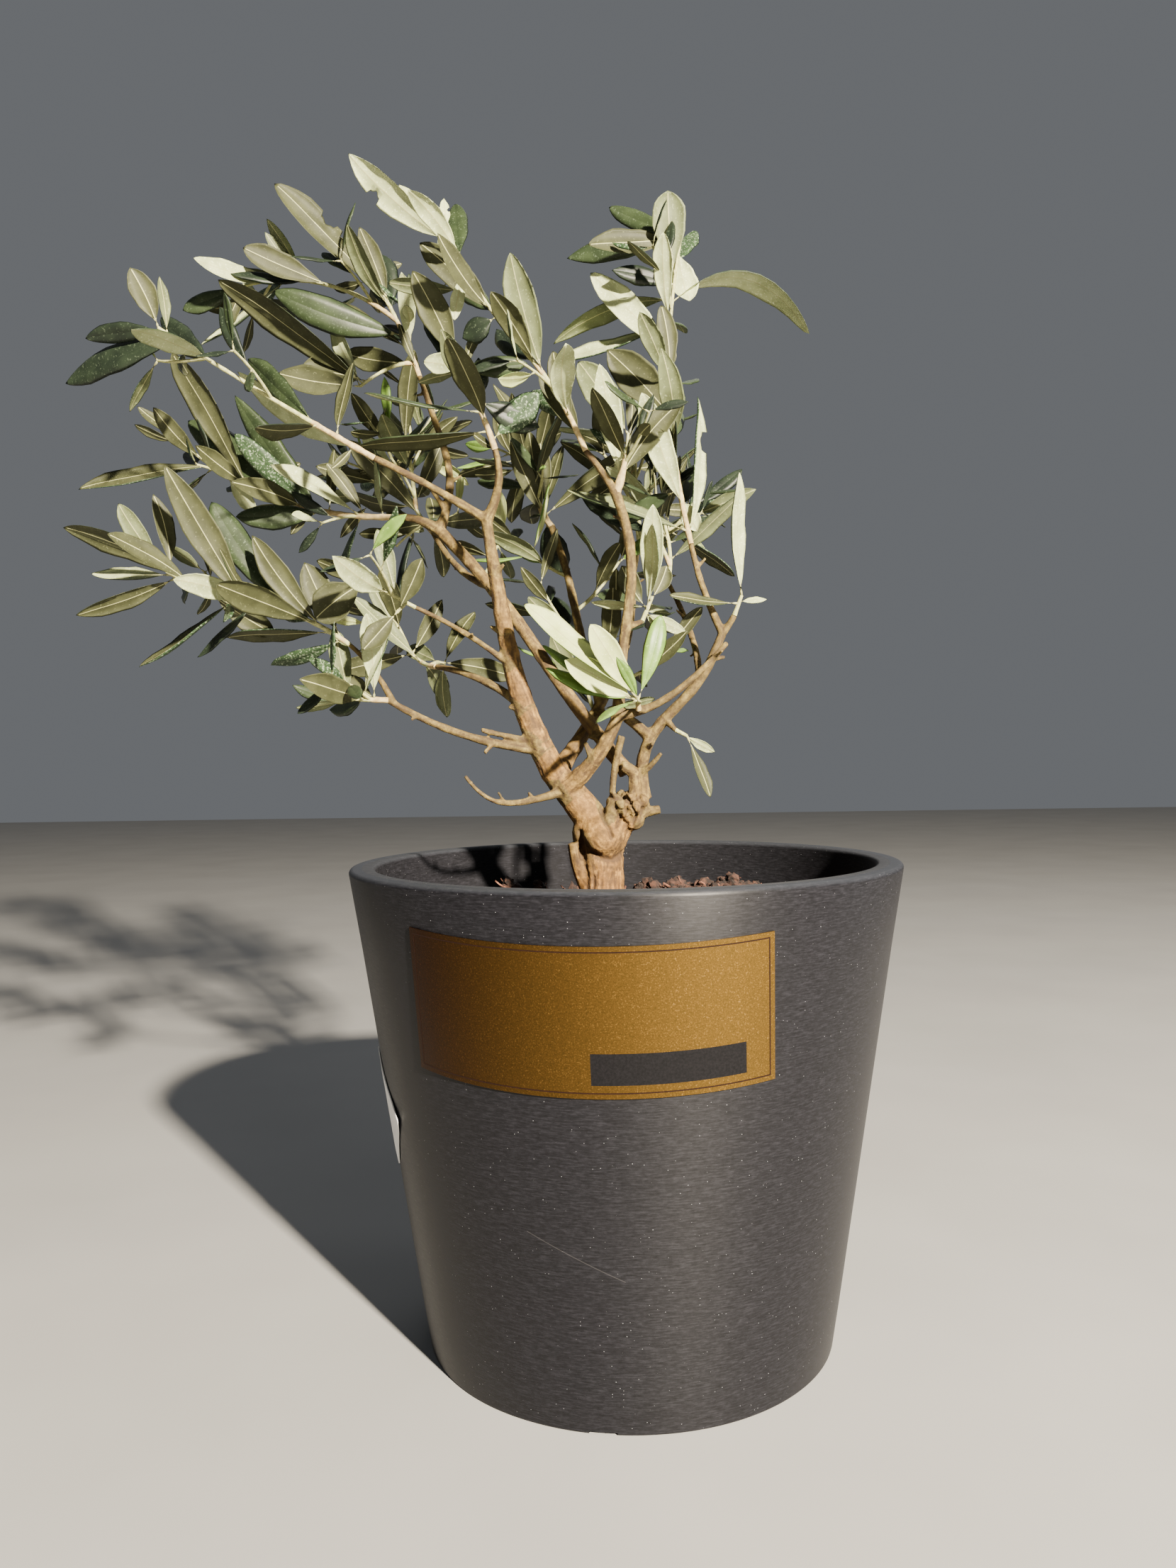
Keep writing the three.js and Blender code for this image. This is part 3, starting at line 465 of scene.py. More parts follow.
compost = {
    "level": 168, "fall": 3.4, "flat": 34, "edge": 95.2, "foot": 140, "rings": 46, "sides": 150,
    "roughness": 2.8, "lumpSize": 9, "lumpNoise": (0.8, 2.1, 4), "fallPower": 1.3, "calmFrom": 84,
    "calm": 0.4, "wallGap": 0.4,
    # each heap: middle, radius and rise
    "heaps": (((34, 60), 26, 6), ((10, 58), 5, 7), ((24, 60), 4, 6.5), ((36, 55), 4, 4), ((47, 62), 6, 4.5),
              ((60, 60), 6, 6), ((-53, 58), 4.5, 12), ((-39, 60), 3.4, 12), ((-24, 62), 3, 9)),
    "strewnAbove": 155, "strewnWithin": 0.93,  # crumbs keep clear of the pot's wall
    "crumbs": 105000, "crumbSize": 1.4, "clods": 7000, "clodSize": 1.8, "fibres": 30000, "fibreLength": 5.5,
    "seed": 7, "quickShare": 0.25,
}


def bedHeight(x, y, p):
    away = math.hypot(x, y)
    outward = max(0, (away - p["flat"]) / (p["edge"] - p["flat"]))
    height = p["level"] - p["fall"] * outward ** p["fallPower"]
    for centre, size, rise in p["heaps"]:
        height += rise * math.exp(-(math.hypot(x - centre[0], y - centre[1]) / size) ** 2)
    lumps = noise.fractal(Vector((x, y, 3)) / p["lumpSize"], *p["lumpNoise"])
    return height + p["roughness"] * lumps * (1 if away < p["calmFrom"] else p["calm"])


def makeScatterTree():  # clods on the bed, then crumbs and fibres on both, as one joined mesh
    tree, given = newNodeTree("strewnCompost", {
        "Crumb Density": "Float", "Crumb Size": "Float", "Clod Density": "Float", "Clod Size": "Float",
        "Fibre Density": "Float", "Fibre Length": "Float", "Seed": "Int", "Crumb Finish": "Material",
        "Fibre Finish": "Material"})

    def shaped(base, offset, finish):
        moved = addNode(tree, "GeometryNodeSetPosition", {"Geometry": base, "Offset": offset})
        return addNode(tree, "GeometryNodeSetMaterial", {"Geometry": moved, "Material": given[finish]})
    grain = addNode(tree, "GeometryNodeMeshIcoSphere", {"Radius": 1, "Subdivisions": 1})
    jag = addNode(tree, "ShaderNodeTexNoise", {"Scale": 1.7, "Detail": 1}).outputs["Color"]
    crumb = shaped(grain, vectorNode(tree, "SUBTRACT", jag, (0.5, 0.5, 0.5)), "Crumb Finish")
    ball = addNode(tree, "GeometryNodeMeshIcoSphere", {"Radius": 1, "Subdivisions": 3})
    knots = addNode(tree, "ShaderNodeTexNoise",
                    {"Scale": 1.5, "Detail": 4, "Roughness": 0.75}).outputs["Color"]
    clod = shaped(ball, vectorNode(tree, "MULTIPLY_ADD", knots, (2, 2, 2), (-1, -1, -1)), "Crumb Finish")
    stick = addNode(tree, "GeometryNodeMeshCylinder", {"Vertices": 4, "Side Segments": 4, "Radius": 0.07,
                                                       "Depth": 2})
    height = axesOf(tree, addNode(tree, "GeometryNodeInputPosition").outputs[0])["Z"]
    bow = mathNode(tree, "MULTIPLY", mathNode(tree, "POWER", height, 2), 0.35)
    thread = shaped(stick, addNode(tree, "ShaderNodeCombineXYZ", {"X": bow}), "Fibre Finish")
    joined = addNode(tree, "GeometryNodeJoinGeometry")
    ground = addNode(tree, "GeometryNodeJoinGeometry", {0: given["Geometry"]})
    for shape, under, density, size, least, most, shift in (
            (clod, given["Geometry"], "Clod Density", "Clod Size", 0.7, 2.4, 17),
            (crumb, ground, "Crumb Density", "Crumb Size", 0.35, 2, 0),
            (thread, ground, "Fibre Density", "Fibre Length", 0.2, 1.1, 31)):
        seed = mathNode(tree, "ADD", given["Seed"], shift)
        points = addNode(tree, "GeometryNodeDistributePointsOnFaces",
                         {"Mesh": under, "Density": given[density], "Seed": seed})
        turn, uneven = [addNode(tree, "FunctionNodeRandomValue", {"data_type": "FLOAT_VECTOR", 0: [low] * 3,
                                                                  1: [high] * 3, "Seed": seed})
                        for low, high in ((0, 6.28), (0.65, 1.25))]
        drawn = addNode(tree, "FunctionNodeRandomValue", {2: 0, 3: 1, "Seed": seed})
        few = rangeNode(tree, mathNode(tree, "POWER", drawn, 3), 0, 1, least, most)  # few are large
        scale = vectorNode(tree, "SCALE", uneven)
        fill(scale, {"Scale": mathNode(tree, "MULTIPLY", few, given[size])})
        strewn = addNode(tree, "GeometryNodeInstanceOnPoints",
                         {"Points": points, "Instance": shape, "Rotation": turn, "Scale": scale})
        fill(joined, {0: strewn})
        if shape == clod:
            fill(ground, {0: addNode(tree, "GeometryNodeRealizeInstances", {"Geometry": strewn})})
    real = addNode(tree, "GeometryNodeRealizeInstances", {"Geometry": joined})
    addNode(tree, "NodeGroupOutput", {0: real})
    return tree


def makeCompostBed(p):
    rings = []
    for row in range(1, p["rings"] + 1):
        ring = ringRound(p["edge"] * row / p["rings"], p["sides"])
        rings.append([(x, y, bedHeight(x, y, p)) for x, y in ring])
    footRadius = pot["footRadius"] + potSlope * p["foot"] - pot["wall"] - p["wallGap"]
    rings.append([(x, y, p["foot"]) for x, y in ringRound(footRadius, p["sides"])])
    verts, faces = closedRings((0, 0, bedHeight(0, 0, p)), rings, (0, 0, p["foot"]), downward=True)
    bed = pieceFrom("compostBed", verts, faces, [peat])
    reach = p["edge"] * p["strewnWithin"] * mm
    covered = [z > p["strewnAbove"] * mm and math.hypot(x, y) < reach for x, y, z in verts]
    topFaces = [face for face in faces if all(covered[k] for k in face)]
    strewn = pieceFrom("compostCrumbs", verts, topFaces, [peat])
    few = 1
    useNodeTree(strewn, makeScatterTree(), {
        "Crumb Density": p["crumbs"] * few, "Crumb Size": p["crumbSize"] * mm,
        "Clod Density": p["clods"] * few, "Clod Size": p["clodSize"] * mm,
        "Fibre Density": p["fibres"] * few, "Fibre Length": p["fibreLength"] * mm,
        "Seed": p["seed"], "Crumb Finish": peat, "Fibre Finish": fibre})
    settle(bed, "compost", "compost")
    settle(strewn, "compost")


makeCompostBed(compost)


# Growth plan of the limbs. Each bough starts on the trunk or at a place along another and runs to its
# tip; bow is its sag at mid-length, crook its S-bend, girth its first and last radius.

trunk = {
    "stem": dict(start=[-9.7, 2, 162], to=[-8.8, 1.2, 193], girth=[8.8, 8.5]),
    "stemSides": 28, "stemStep": 0.8, "flare": 2.2, "flareLength": 8, "flareFrom": 167,
    "overhang": [([-8.6, -2.0, 200.6], 9.8), ([-14.2, -0.6, 202], 6.8), ([-11, 4, 199], 8.4)],
    "arms": [
        dict(start=[-8, 0, 200.5], to=[-28.3, -1, 226.6], girth=[7.6, 5.5]),
        dict(start=[-8.8, 1.2, 188], to=[-6.4, 1, 203], girth=[8.5, 7.9]),
        dict(start=[-6, 0.5, 199], to=[1.7, 0.5, 211.5], girth=[7.6, 6.2]),
        dict(start=[4, -1.4, 212], to=[4.6, -1.2, 225.4], bow=[0.4, 0, 0], girth=[3.1, 2.5]),
        dict(start=[4.8, -1.2, 225], to=[-0.6, -2.2, 228.4], bow=[0, 0, 0.6], girth=[2.7, 2.2]),
        dict(start=[-15, 0.2, 180], to=[-20, -1.4, 197.4], bow=[-0.8, 0, 0], girth=[4, 3]),
        dict(start=[-13.4, 3.4, 180], to=[-16.2, 2.8, 203], girth=[5, 5.4]),
        dict(start=[6, 1, 209], to=[15, 1, 210.5], girth=[2.4, 1.8]),
        dict(start=[-4.6, -2.6, 213], to=[-0.2, -3.6, 240.4], bow=[-1, 0, 0], girth=[1.3, 1.6]),
        dict(start=[10.4, 3, 240.4], to=[1.6, -5, 247.6], bow=[0, 0, 0.6], girth=[2.5, 2]),
        dict(start=[8.4, 1, 226], to=[15.6, -2.4, 233.4], bow=[0, 0, -0.6], girth=[1.4, 0.9]),
    ],
    "burrs": [([1.7, 0, 210.8], 7.0), ([6.2, 1, 213.4], 4.4), ([-3.2, -2.2, 213.4], 4.0),
              ([4, -2.6, 206.6], 4.6), ([11, 3, 241], 3.1)],
    "knobs": 22, "knobSizes": [1.3, 3.7], "knobCentre": [1.9, -0.3, 211], "knobReach": [7.1, 6.6, 6.2],
    # creases seen from the front: points across and up, width, depth
    "creases": [([(-9, 211), (-7.8, 207.4), (-5.6, 203.4), (-4.6, 200)], 0.9, 1.3),
                ([(-17, 199), (-14.4, 194.8), (-9.4, 191.2), (-4.2, 190.4), (0, 193)], 1.2, 1.1),
                ([(-18, 202), (-17.4, 197), (-16.8, 191.4)], 1.1, 1.6),
                ([(-7, 217), (-3.4, 215.6), (0.4, 216.4), (2.6, 214)], 0.7, 1.4),
                ([(3, 212), (5, 208.6), (3.6, 205.2)], 0.6, 0.9),
                ([(-3.4, 212), (-1.6, 208), (-2.6, 204.6)], 0.6, 0.8),
                ([(6.4, 216), (8, 212.6), (7.4, 209)], 0.6, 0.8),
                ([(-15.8, 188), (-15, 184), (-15.2, 176)], 0.7, 0.5),
                ([(-12.4, 184), (-12.8, 174)], 0.6, 0.7)],
    "elbow": [-14, -4, 206], "elbowReach": 12,
}
boughs = {
    "leader": dict(start=[-27.6, -1, 225.5], to=[-52.8, -10, 327], bow=[-4.6, -1, -1.7],
        crook=[-1, 0.6, 0], girth=[5.5, 2.1], stub=dict(at=0.13, to=[-56, -12, 243.5], girth=[1.5, 1])),
    "left_arm": dict(on="leader", at=1, to=[-94, -25, 348.5], bow=[0, 0.5, 1], girth=[1.8, 1.3]),
    "leader_top": dict(on="leader", at=1, to=[-48, -19, 352.4], bow=[3, 0.3, 0], girth=[2, 1.3]),
    "second": dict(start=[1.8, 4, 225.6], to=[-77.2, 26, 330], bow=[1.3, -2, 1.3], crook=[-0.8, 2, -1],
        girth=[2.9, 2.5]),
    "second_up": dict(on="second", at=1, to=[-89.2, 54, 404.7], bow=[6.8, -1, 0.8], crook=[1.7, 0, 0],
        girth=[2, 1.2], stub=dict(at=0.12, to=[-80.5, 28, 348], girth=[1.2, 0.9])),
    "second_left": dict(on="second", at=1, to=[-95, 28, 336.6], bow=[0, 0, 1.6], girth=[2.2, 1.4]),
    "low_upper": dict(on="leader", at=0.44, to=[-79.3, -24, 291], bow=[0.6, 0, 1.6],
        girth=[1.3, 0.9]),
    "low_mid": dict(on="leader", at=0.28, to=[-77.5, 12, 270.8], bow=[1, -0.6, 2.7], girth=[2, 1.2]),
    "lowest": dict(on="leader", at=0.1, to=[-90.5, -24, 255.4], bow=[-1.3, 0, -3.5], girth=[1.9, 1.3]),
    "low_arm": dict(on="lowest", at=0.97, to=[-105.5, -22, 277.2], bow=[1.3, -0.6, 1], girth=[1.2, 1]),
    "dead_twig": dict(start=[-25, -4, 218.5], to=[-62, -18, 225.5], bow=[-1.7, -1.4, -7.7],
        crook=[0, 0, 1], girth=[1.7, 0.7]),
    "front": dict(start=[-23, -3, 219.7], to=[-1.6, -13, 248.3], bow=[1.9, -1.5, -1.8],
        girth=[3.7, 2.4]),
    "front_right": dict(on="front", at=1, to=[41.8, -12, 276.4], bow=[2.3, -1.5, -4.2],
        crook=[0, 0, -0.7], girth=[1.8, 1.1], stub=dict(at=0.2, to=[6.5, -17, 250.5], girth=[1.5, 1.3])),
    "middle": dict(on="front", at=1, to=[-1.2, -12, 335.7], bow=[4.7, 2, 0], crook=[-1.9, -0.6, 0],
        girth=[2.3, 2], stub=dict(at=0.4, to=[8.5, -6, 286], girth=[1.3, 1])),
    "middle_top": dict(on="middle", at=1, to=[-12.8, -16, 351.8], bow=[0.4, 0.6, 0.4], girth=[1.6, 1.2]),
    "back": dict(start=[-26, 5, 228], to=[-9, 23, 255], bow=[0.3, 3, -0.8], girth=[3.7, 2.4]),
    "back_upper": dict(on="back", at=1, to=[-30.2, 48, 335], bow=[0, -1.9, 0.5], crook=[-0.9, 0, 0],
        girth=[2.1, 1.6]),
    "rear": dict(on="back", at=1, to=[6, 54, 314], bow=[4, 2, -3], girth=[1.9, 1.2]),
    "right": dict(start=[8.3, 3, 214.7], to=[40.9, -1, 281.4], bow=[-5.1, 0, 1.4], crook=[-3.5, 1, 1.9],
        girth=[2.7, 1.8], stub=dict(at=0.46, to=[21.5, -3, 242.5], girth=[1.3, 1])),
    "tall": dict(on="right", at=1, to=[28.8, 0, 317.5], bow=[-1.4, 0, 0], girth=[1.5, 1.2]),
    "right_tip": dict(on="right", at=1, to=[45.6, -3, 288.2], bow=[0.3, 0, 0], girth=[1.4, 1.1]),
    "rear_right": dict(on="right", at=0.72, to=[21, 40, 308], bow=[4, 2, -3], girth=[1.6, 1.1]),
    "rear_left": dict(on="second", at=0.74, to=[-84, 52, 334], bow=[-1, 2, -4], girth=[1.8, 1.2]),
}

# Sprays of leaves. Each grows on from the tip of a bough; more twigs start at a place along its main
# one. A leaf is [place along the twig, bearing seen from the front in degrees, length and breadth seen
# from the front]; a minus on the breadth turns its upper side to the front, and a fifth number arches
# it over. pairs adds opposite leaves and forks adds side twigs with pairs of their own.
sprays = {
    "spray_far_left": dict(on="left_arm", twigs=[
        dict(to=[-167, -50, 391], bow=[0, -1, -1], pairs=2,
            leaves=[[0.91, 190, 51, -11], [0.98, 180, 31, -6], [1, 110, 20, 9], [0.96, 95, 20, 3],
                [0.08, 145, 62, 6], [0.1, 230, 12, 4], [0.18, 80, 31, 7]])]),
    "spray_left": dict(on="second_left", twigs=[
        dict(to=[-192, 36, 373], bow=[-4, -1, -9], pairs=4,
            leaves=[[0.65, 115, 57, 12], [0.46, 140, 62, -15], [0.32, 125, 59, -12], [0.35, 135, 44, -10],
                [1, 140, 25, 4], [1, 160, 19, 3], [0.83, 195, 52, 8], [0.76, 305, 19, 7], [0.3, 185, 36, -11],
                [0.13, 125, 28, 6], [0.06, 100, 34, 5], [0.41, 205, 22, 6], [0.36, 230, 14, 4],
                [0.28, 90, 30, 4]])]),
    "spray_low_left": dict(on="low_arm", twigs=[
        dict(to=[-177, -22, 307], bow=[0, 0, 1], crook=[1, 0, 2], pairs=3,
            leaves=[[1, 125, 33, 8], [0.98, 100, 31, 5], [0.89, 155, 49, 8], [0.97, 175, 37, 7],
                [0.94, 205, 37, 6], [0.63, 210, 49, 5], [0.56, 115, 54, 12], [0.33, 125, 54, -12],
                [0.16, 125, 42, 10], [0.05, 115, 33, 12], [0.11, 180, 45, 4], [0.76, 325, 27, 10],
                [0.05, 195, 33, -6]])]),
    "spray_low": dict(on="lowest", twigs=[
        dict(to=[-106, -27, 256], pairs=1,
            leaves=[[1, 165, 21, -5], [1, 190, 19, 3], [0.95, 105, 29, 8], [0.3, 150, 17, 8],
                [0.35, 90, 32, 8], [0.6, 65, 30, 5]])]),
    "spray_low_upper": dict(on="low_upper", twigs=[
        dict(to=[-96, -33, 300], pairs=1,
            leaves=[[1, 215, 24, 15], [0.8, 155, 27, 6], [0.4, 105, 27, 7]]),
        dict(at=0.2, to=[-84, -36, 288], leaves=[[1, 230, 19, 9], [0.9, 60, 21, 8]])]),
    "spray_low_mid": dict(on="low_mid", forks=2, twigs=[
        dict(to=[-97, 38, 285], bow=[0, 2, -3], pairs=3)]),
    "spray_top_left": dict(on="second_up", twigs=[
        dict(to=[-120, 66, 468], bow=[2, 1, 1], pairs=3,
            leaves=[[0.59, 135, 64, 12], [0.54, 110, 38, 9], [0.2, 150, 56, 9], [0.31, 165, 56, -15],
                [0.47, 105, 32, -15], [0.1, 165, 35, 11], [0.05, 110, 20, 4]]),
        dict(at=0.42, to=[-173, 70, 454], bow=[2, 1, 9], pairs=2,
            leaves=[[0.47, 160, 38, 12], [0.63, 120, 29, 5], [0.66, 125, 23, 5], [1, 200, 31, -9],
                [0.73, 175, 32, 7], [0.58, 180, 34, -7], [0.75, 220, 49, 7], [1, 245, 21, 7]]),
        dict(at=0.1, to=[-114, 44, 398], bow=[1, 0, 3],
            leaves=[[0.95, 145, 72, 9], [0.9, 165, 30, 16], [1, 170, 37, 13], [1, 115, 38, 8]])]),
    "spray_top": dict(on="middle_top", twigs=[
        dict(to=[-64, -29, 433], crook=[2, 0, 1], pairs=4,
            leaves=[[0.94, 140, 49, 9], [0.62, 135, 41, 11], [1, 135, 25, 4], [1, 95, 13, 3],
                [0.34, 105, 41, 12], [0.04, 120, 32, 9], [0.1, 105, 32, 8], [0.62, 205, 15, -10],
                [0.83, 255, 19, 5], [0.45, 110, 16, 6]])]),
    "spray_upper_left": dict(on="leader_top", twigs=[
        dict(to=[-61, -29, 383], bow=[1, 0, 0], pairs=2,
            leaves=[[0.99, 115, 39, 12], [0.48, 90, 19, -8], [0.1, 45, 26, -12], [0.43, 175, 42, -4],
                [0.21, 185, 51, 3], [0.91, 160, 16, 8], [0.95, 0, 26, -8], [0.57, 340, 25, -11]])]),
    "spray_centre": dict(on="middle", twigs=[
        dict(to=[4, -13, 359], bow=[1, -1, 0], pairs=1,
            leaves=[[0.97, 120, 39, 13], [0.2, 100, 41, 10], [0.25, 50, 37, 11], [0.3, 200, 16, 10]])]),
    "spray_tall": dict(on="tall", twigs=[
        dict(to=[28, 24, 452], bow=[-7, 0, 0], pairs=5,
            leaves=[[0.03, 85, 60, 7], [0.14, 300, 14, 8], [0.22, 95, 37, 4], [0.4, 130, 40, 16],
                [0.6, 130, 50, 12], [0.51, 95, 32, 8], [0.53, 95, 15, 9], [0.7, 190, 52, 7],
                [0.83, 170, 26, -9], [0.78, 194, 52, 5, 0.14], [0.77, 352, 60, 4, 0.3], [0.95, 280, 23, 12],
                [1, 185, 49, -11], [0.98, 190, 39, 12], [1, 150, 35, -8], [0.86, 95, 32, 14],
                [0.04, 160, 52, 6], [0.17, 205, 27, -8]])]),
    "spray_right": dict(on="right_tip", twigs=[
        dict(to=[48.5, -4, 296],
            leaves=[[1, 92, 46, 7], [0.6, 175, 28, 4], [0.7, 5, 11, 3], [0.5, 260, 17, 3]])]),
    "spray_front": dict(on="front_right", at="stub", twigs=[
        dict(to=[6, -21, 255], pairs=1,
            leaves=[[1, 140, 56, 8], [0.9, 150, 42, -4], [0.8, 160, 38, -6], [0.6, 150, 32, 12],
                [0.8, 122, 33, 10]])]),
    "spray_mid_right": dict(on="middle", at="stub", twigs=[
        dict(to=[13, 4, 297], pairs=2,
            leaves=[[0.95, 65, 15, 8], [0.4, 355, 10, 3], [0.3, 315, 8, 3], [0.35, 330, 18, 5],
                [0.5, 120, 20, 9], [0.6, 175, 23, 3]])]),
    "spray_back_centre": dict(on="back_upper", forks=2, twigs=[
        dict(to=[-38, 66, 372], bow=[-3, 0, -3], pairs=4,
            leaves=[[0.3, 90, 30, 8], [0.25, 75, 35, 7], [0.2, 35, 61, 7], [0.15, 285, 24, -13]])]),
    "spray_hanging": dict(on="right", at="stub", twigs=[
        dict(to=[26, -4, 240], leaves=[[0.8, 330, 14, 4], [1, 290, 26, 5]])]),
    "spray_rear": dict(on="rear", forks=3, twigs=[
        dict(to=[4, 74, 378], bow=[4, 4, -2], pairs=5)]),
    "spray_rear_right": dict(on="rear_right", forks=2, twigs=[
        dict(to=[14, 58, 352], bow=[4, 2, 0], pairs=5)]),
    "spray_rear_left": dict(on="rear_left", forks=4, twigs=[
        dict(to=[-110, 78, 382], bow=[0, 4, -5], pairs=5)]),
}
growth = {
    "twigGirth": [1.3, 0.95], "twigSides": 3, "twigStep": 16, "firstLeafGap": 3, "leafLength": 52,
    "leafSizes": [0.72, 1.05], "leafTipLoss": 0.3, "attempts": 4, "attemptStep": 0.37, "freeRoot": 7,
    "slenderness": 0.2, "extraBreadth": 1.4, "leafThickness": 0.9, "stations": [0.42, 0.74],
    "stationBreadths": [1, 0.78], "petioleRadius": 0.42, "petioleLength": 1.5, "rootDepth": 0.3,
    "arch": 0.05, "pairLean": 0.5, "pairSpread": 52, "pairSpreadNoise": 16, "depthTilt": 22,
    "forkSpread": 42, "forkPlaces": [0.18, 0.8], "forkLengths": [0.57, 0.36], "forkSag": 1, "forkPairs": 2,
    "goldenAngle": 137.5, "boughSides": 6, "boughStep": 13, "gap": 0.3,
    "sizeDraw": 0.25, "turnDraw": 0.5, "archDraw": 0.75, "shootGirth": [0.6, 0.45], "shootSides": 3,
    "shootStep": 8,
}


def chance(seed, count):  # a repeatable number from 0 to 1
    wave = math.sin(seed * 12.9898 + count * 78.233) * 43758.5453
    return wave - math.floor(wave)


def swing(seed, count):  # and one from -1 to 1
    return 2 * chance(seed, count) - 1


def mix(ends, t):
    return ends[0] + (ends[1] - ends[0]) * t


def bent(path, key):
    return Vector(path.get(key, (0, 0, 0)))


def pointOn(path, t):
    place = Vector(path["start"]).lerp(Vector(path["to"]), t) + bent(path, "bow") * (4 * t * (1 - t))
    return place + bent(path, "crook") * math.sin(2 * math.pi * t)


def headingOn(path, t):
    run = Vector(path["to"]) - Vector(path["start"]) + bent(path, "bow") * (4 - 8 * t)
    turn = 2 * math.pi * math.cos(2 * math.pi * t)
    return (run + bent(path, "crook") * turn).normalized()


def lengthOf(path):
    return (Vector(path["to"]) - Vector(path["start"])).length


def acrossOf(heading):  # two directions square to a heading, one in the front plane and one in depth
    guide = Vector((1, 0, 0)) if abs(heading.y) > 0.9 else Vector((0, 1, 0))
    side = heading.cross(guide).normalized()
    return side, side.cross(heading).normalized()


def outwardOf(heading, roll):  # a direction square to a heading, turned round it
    side, depth = acrossOf(heading)
    return side * math.cos(roll) + depth * math.sin(roll)


def leafAxes(leaf):  # its run from root to tip, and the directions along, across and up from its face
    along = leaf["tip"] - leaf["root"]
    heading = along.normalized()
    across = heading.cross(leaf["facing"]).normalized()
    return along.length, heading, across, across.cross(heading).normalized()


def turned(direction, axis, angle):
    return (direction * math.cos(angle) + axis.cross(direction) * math.sin(angle)
            + axis * (axis.dot(direction) * (1 - math.cos(angle))))


# Plain solids, kept for the tests of what touches what

class Shape:
    def __init__(self, verts, faces):
        self.low = [min(v[k] for v in verts) for k in range(3)]
        self.high = [max(v[k] for v in verts) for k in range(3)]
        self.tree = BVHTree.FromPolygons(verts, faces)

    def touches(self, other):
        if any(self.low[k] > other.high[k] or other.low[k] > self.high[k] for k in range(3)):
            return False
        return bool(self.tree.overlap(other.tree))

    def touchesAny(self, others):
        return any(self.touches(other) for other in others)


def carried(stations, sides, place):  # closed rings carried along a path, as in the CAD solids
    verts, faces = [], []
    for radius, t in stations[1:-1]:
        for k in range(sides):
            turn = 2 * math.pi * k / sides
            verts.append(place(t, radius * math.sin(turn), radius * math.cos(turn)))
    rows = len(stations) - 2
    for row in range(rows - 1):
        for k in range(sides):
            a, b = row * sides, (row + 1) * sides
            faces.append((a + k, a + (k + 1) % sides, b + (k + 1) % sides, b + k))
    verts += [place(stations[0][1], 0, 0), place(stations[-1][1], 0, 0)]
    for k in range(sides):
        faces.append((len(verts) - 2, (k + 1) % sides, k))
        last = (rows - 1) * sides
        faces.append((len(verts) - 1, last + k, last + (k + 1) % sides))
    return Shape(verts, faces)


def limbShape(path, girth, sides, step, swell=0):
    rings = max(2, round(lengthOf(path) / step))

    def place(t, x, z):
        heading = headingOn(path, t)
        side, depth = acrossOf(heading)
        overrun = swell * ((t == 1) - (t == 0))
        radius = mix(girth, t) + swell
        return pointOn(path, t) + heading * overrun + side * (x * radius) + depth * (z * radius)
    return carried([(0, 0)] + [(1, i / rings) for i in range(rings + 1)] + [(0, 1)], sides, place)


def boughRoom(path):
    return limbShape(path, path["girth"], growth["boughSides"], growth["boughStep"], growth["gap"])


def twigShape(path, swell=0):
    return limbShape(path, growth["twigGirth"], growth["twigSides"], growth["twigStep"], swell)


def shootRoom(path, begin=0):  # begin leaves out the root, which grows out of its limb
    path = dict(path, start=pointOn(path, begin)) if begin else path
    return limbShape(path, growth["shootGirth"], growth["shootSides"], growth["shootStep"], growth["gap"])


def leafShape(leaf, swell=0):
    g = growth
    length, heading, across, rise = leafAxes(leaf)
    half = leaf["breadth"] / 2 / math.cos(math.pi / 6)
    petioleEnd = g["petioleLength"] / length
    wide, narrow = g["stations"]
    reach = {petioleEnd: g["petioleRadius"], wide: half * g["stationBreadths"][0],
             narrow: half * g["stationBreadths"][1]}

    def place(t, x, z):
        spread = reach[t] + swell if t in reach else 0
        depth = g["petioleRadius"] if t == petioleEnd else g["leafThickness"] / 1.5 + swell
        curve = rise * (4 * t * (1 - t) * leaf["arch"] * length + z * depth)
        return leaf["root"] + heading * (length * t + swell * (t == 1)) + curve + across * (x * spread)
    return carried([(0, 0), (1, petioleEnd), (1, wide), (1, narrow), (0, 1)], 3, place)


# Leaves and twigs by the rule of the CAD solids

def seenLeaf(twig, given, seed, count, attempt):  # a leaf placed as it shows from the front
    g = growth
    place, bearing, length, seenBreadth = given[:4]
    droop = given[4] if len(given) > 4 else 0
    tilt = math.radians(g["depthTilt"] * swing(seed, count + attempt * g["attemptStep"]))
    angle = math.radians(bearing)
    heading = Vector((math.cos(angle), math.tan(tilt), math.sin(angle)))
    root = pointOn(twig, max(place, g["firstLeafGap"] / lengthOf(twig)))
    tip = root + heading * length
    heading.normalize()
    shown = abs(seenBreadth)
    breadth = max(shown, g["slenderness"] * length + g["extraBreadth"])
    side = math.copysign(1, heading.x if droop else chance(seed, count + g["turnDraw"]) - 0.5)
    front = Vector((0, -math.copysign(1, seenBreadth), 0))
    facing = (front - heading * front.dot(heading)).normalized()
    return dict(root=root - heading * g["rootDepth"], tip=tip, breadth=breadth,
                facing=turned(facing, heading, math.acos(shown / breadth) * side),
                arch=-droop if droop else g["arch"] * swing(seed, count + g["archDraw"]))


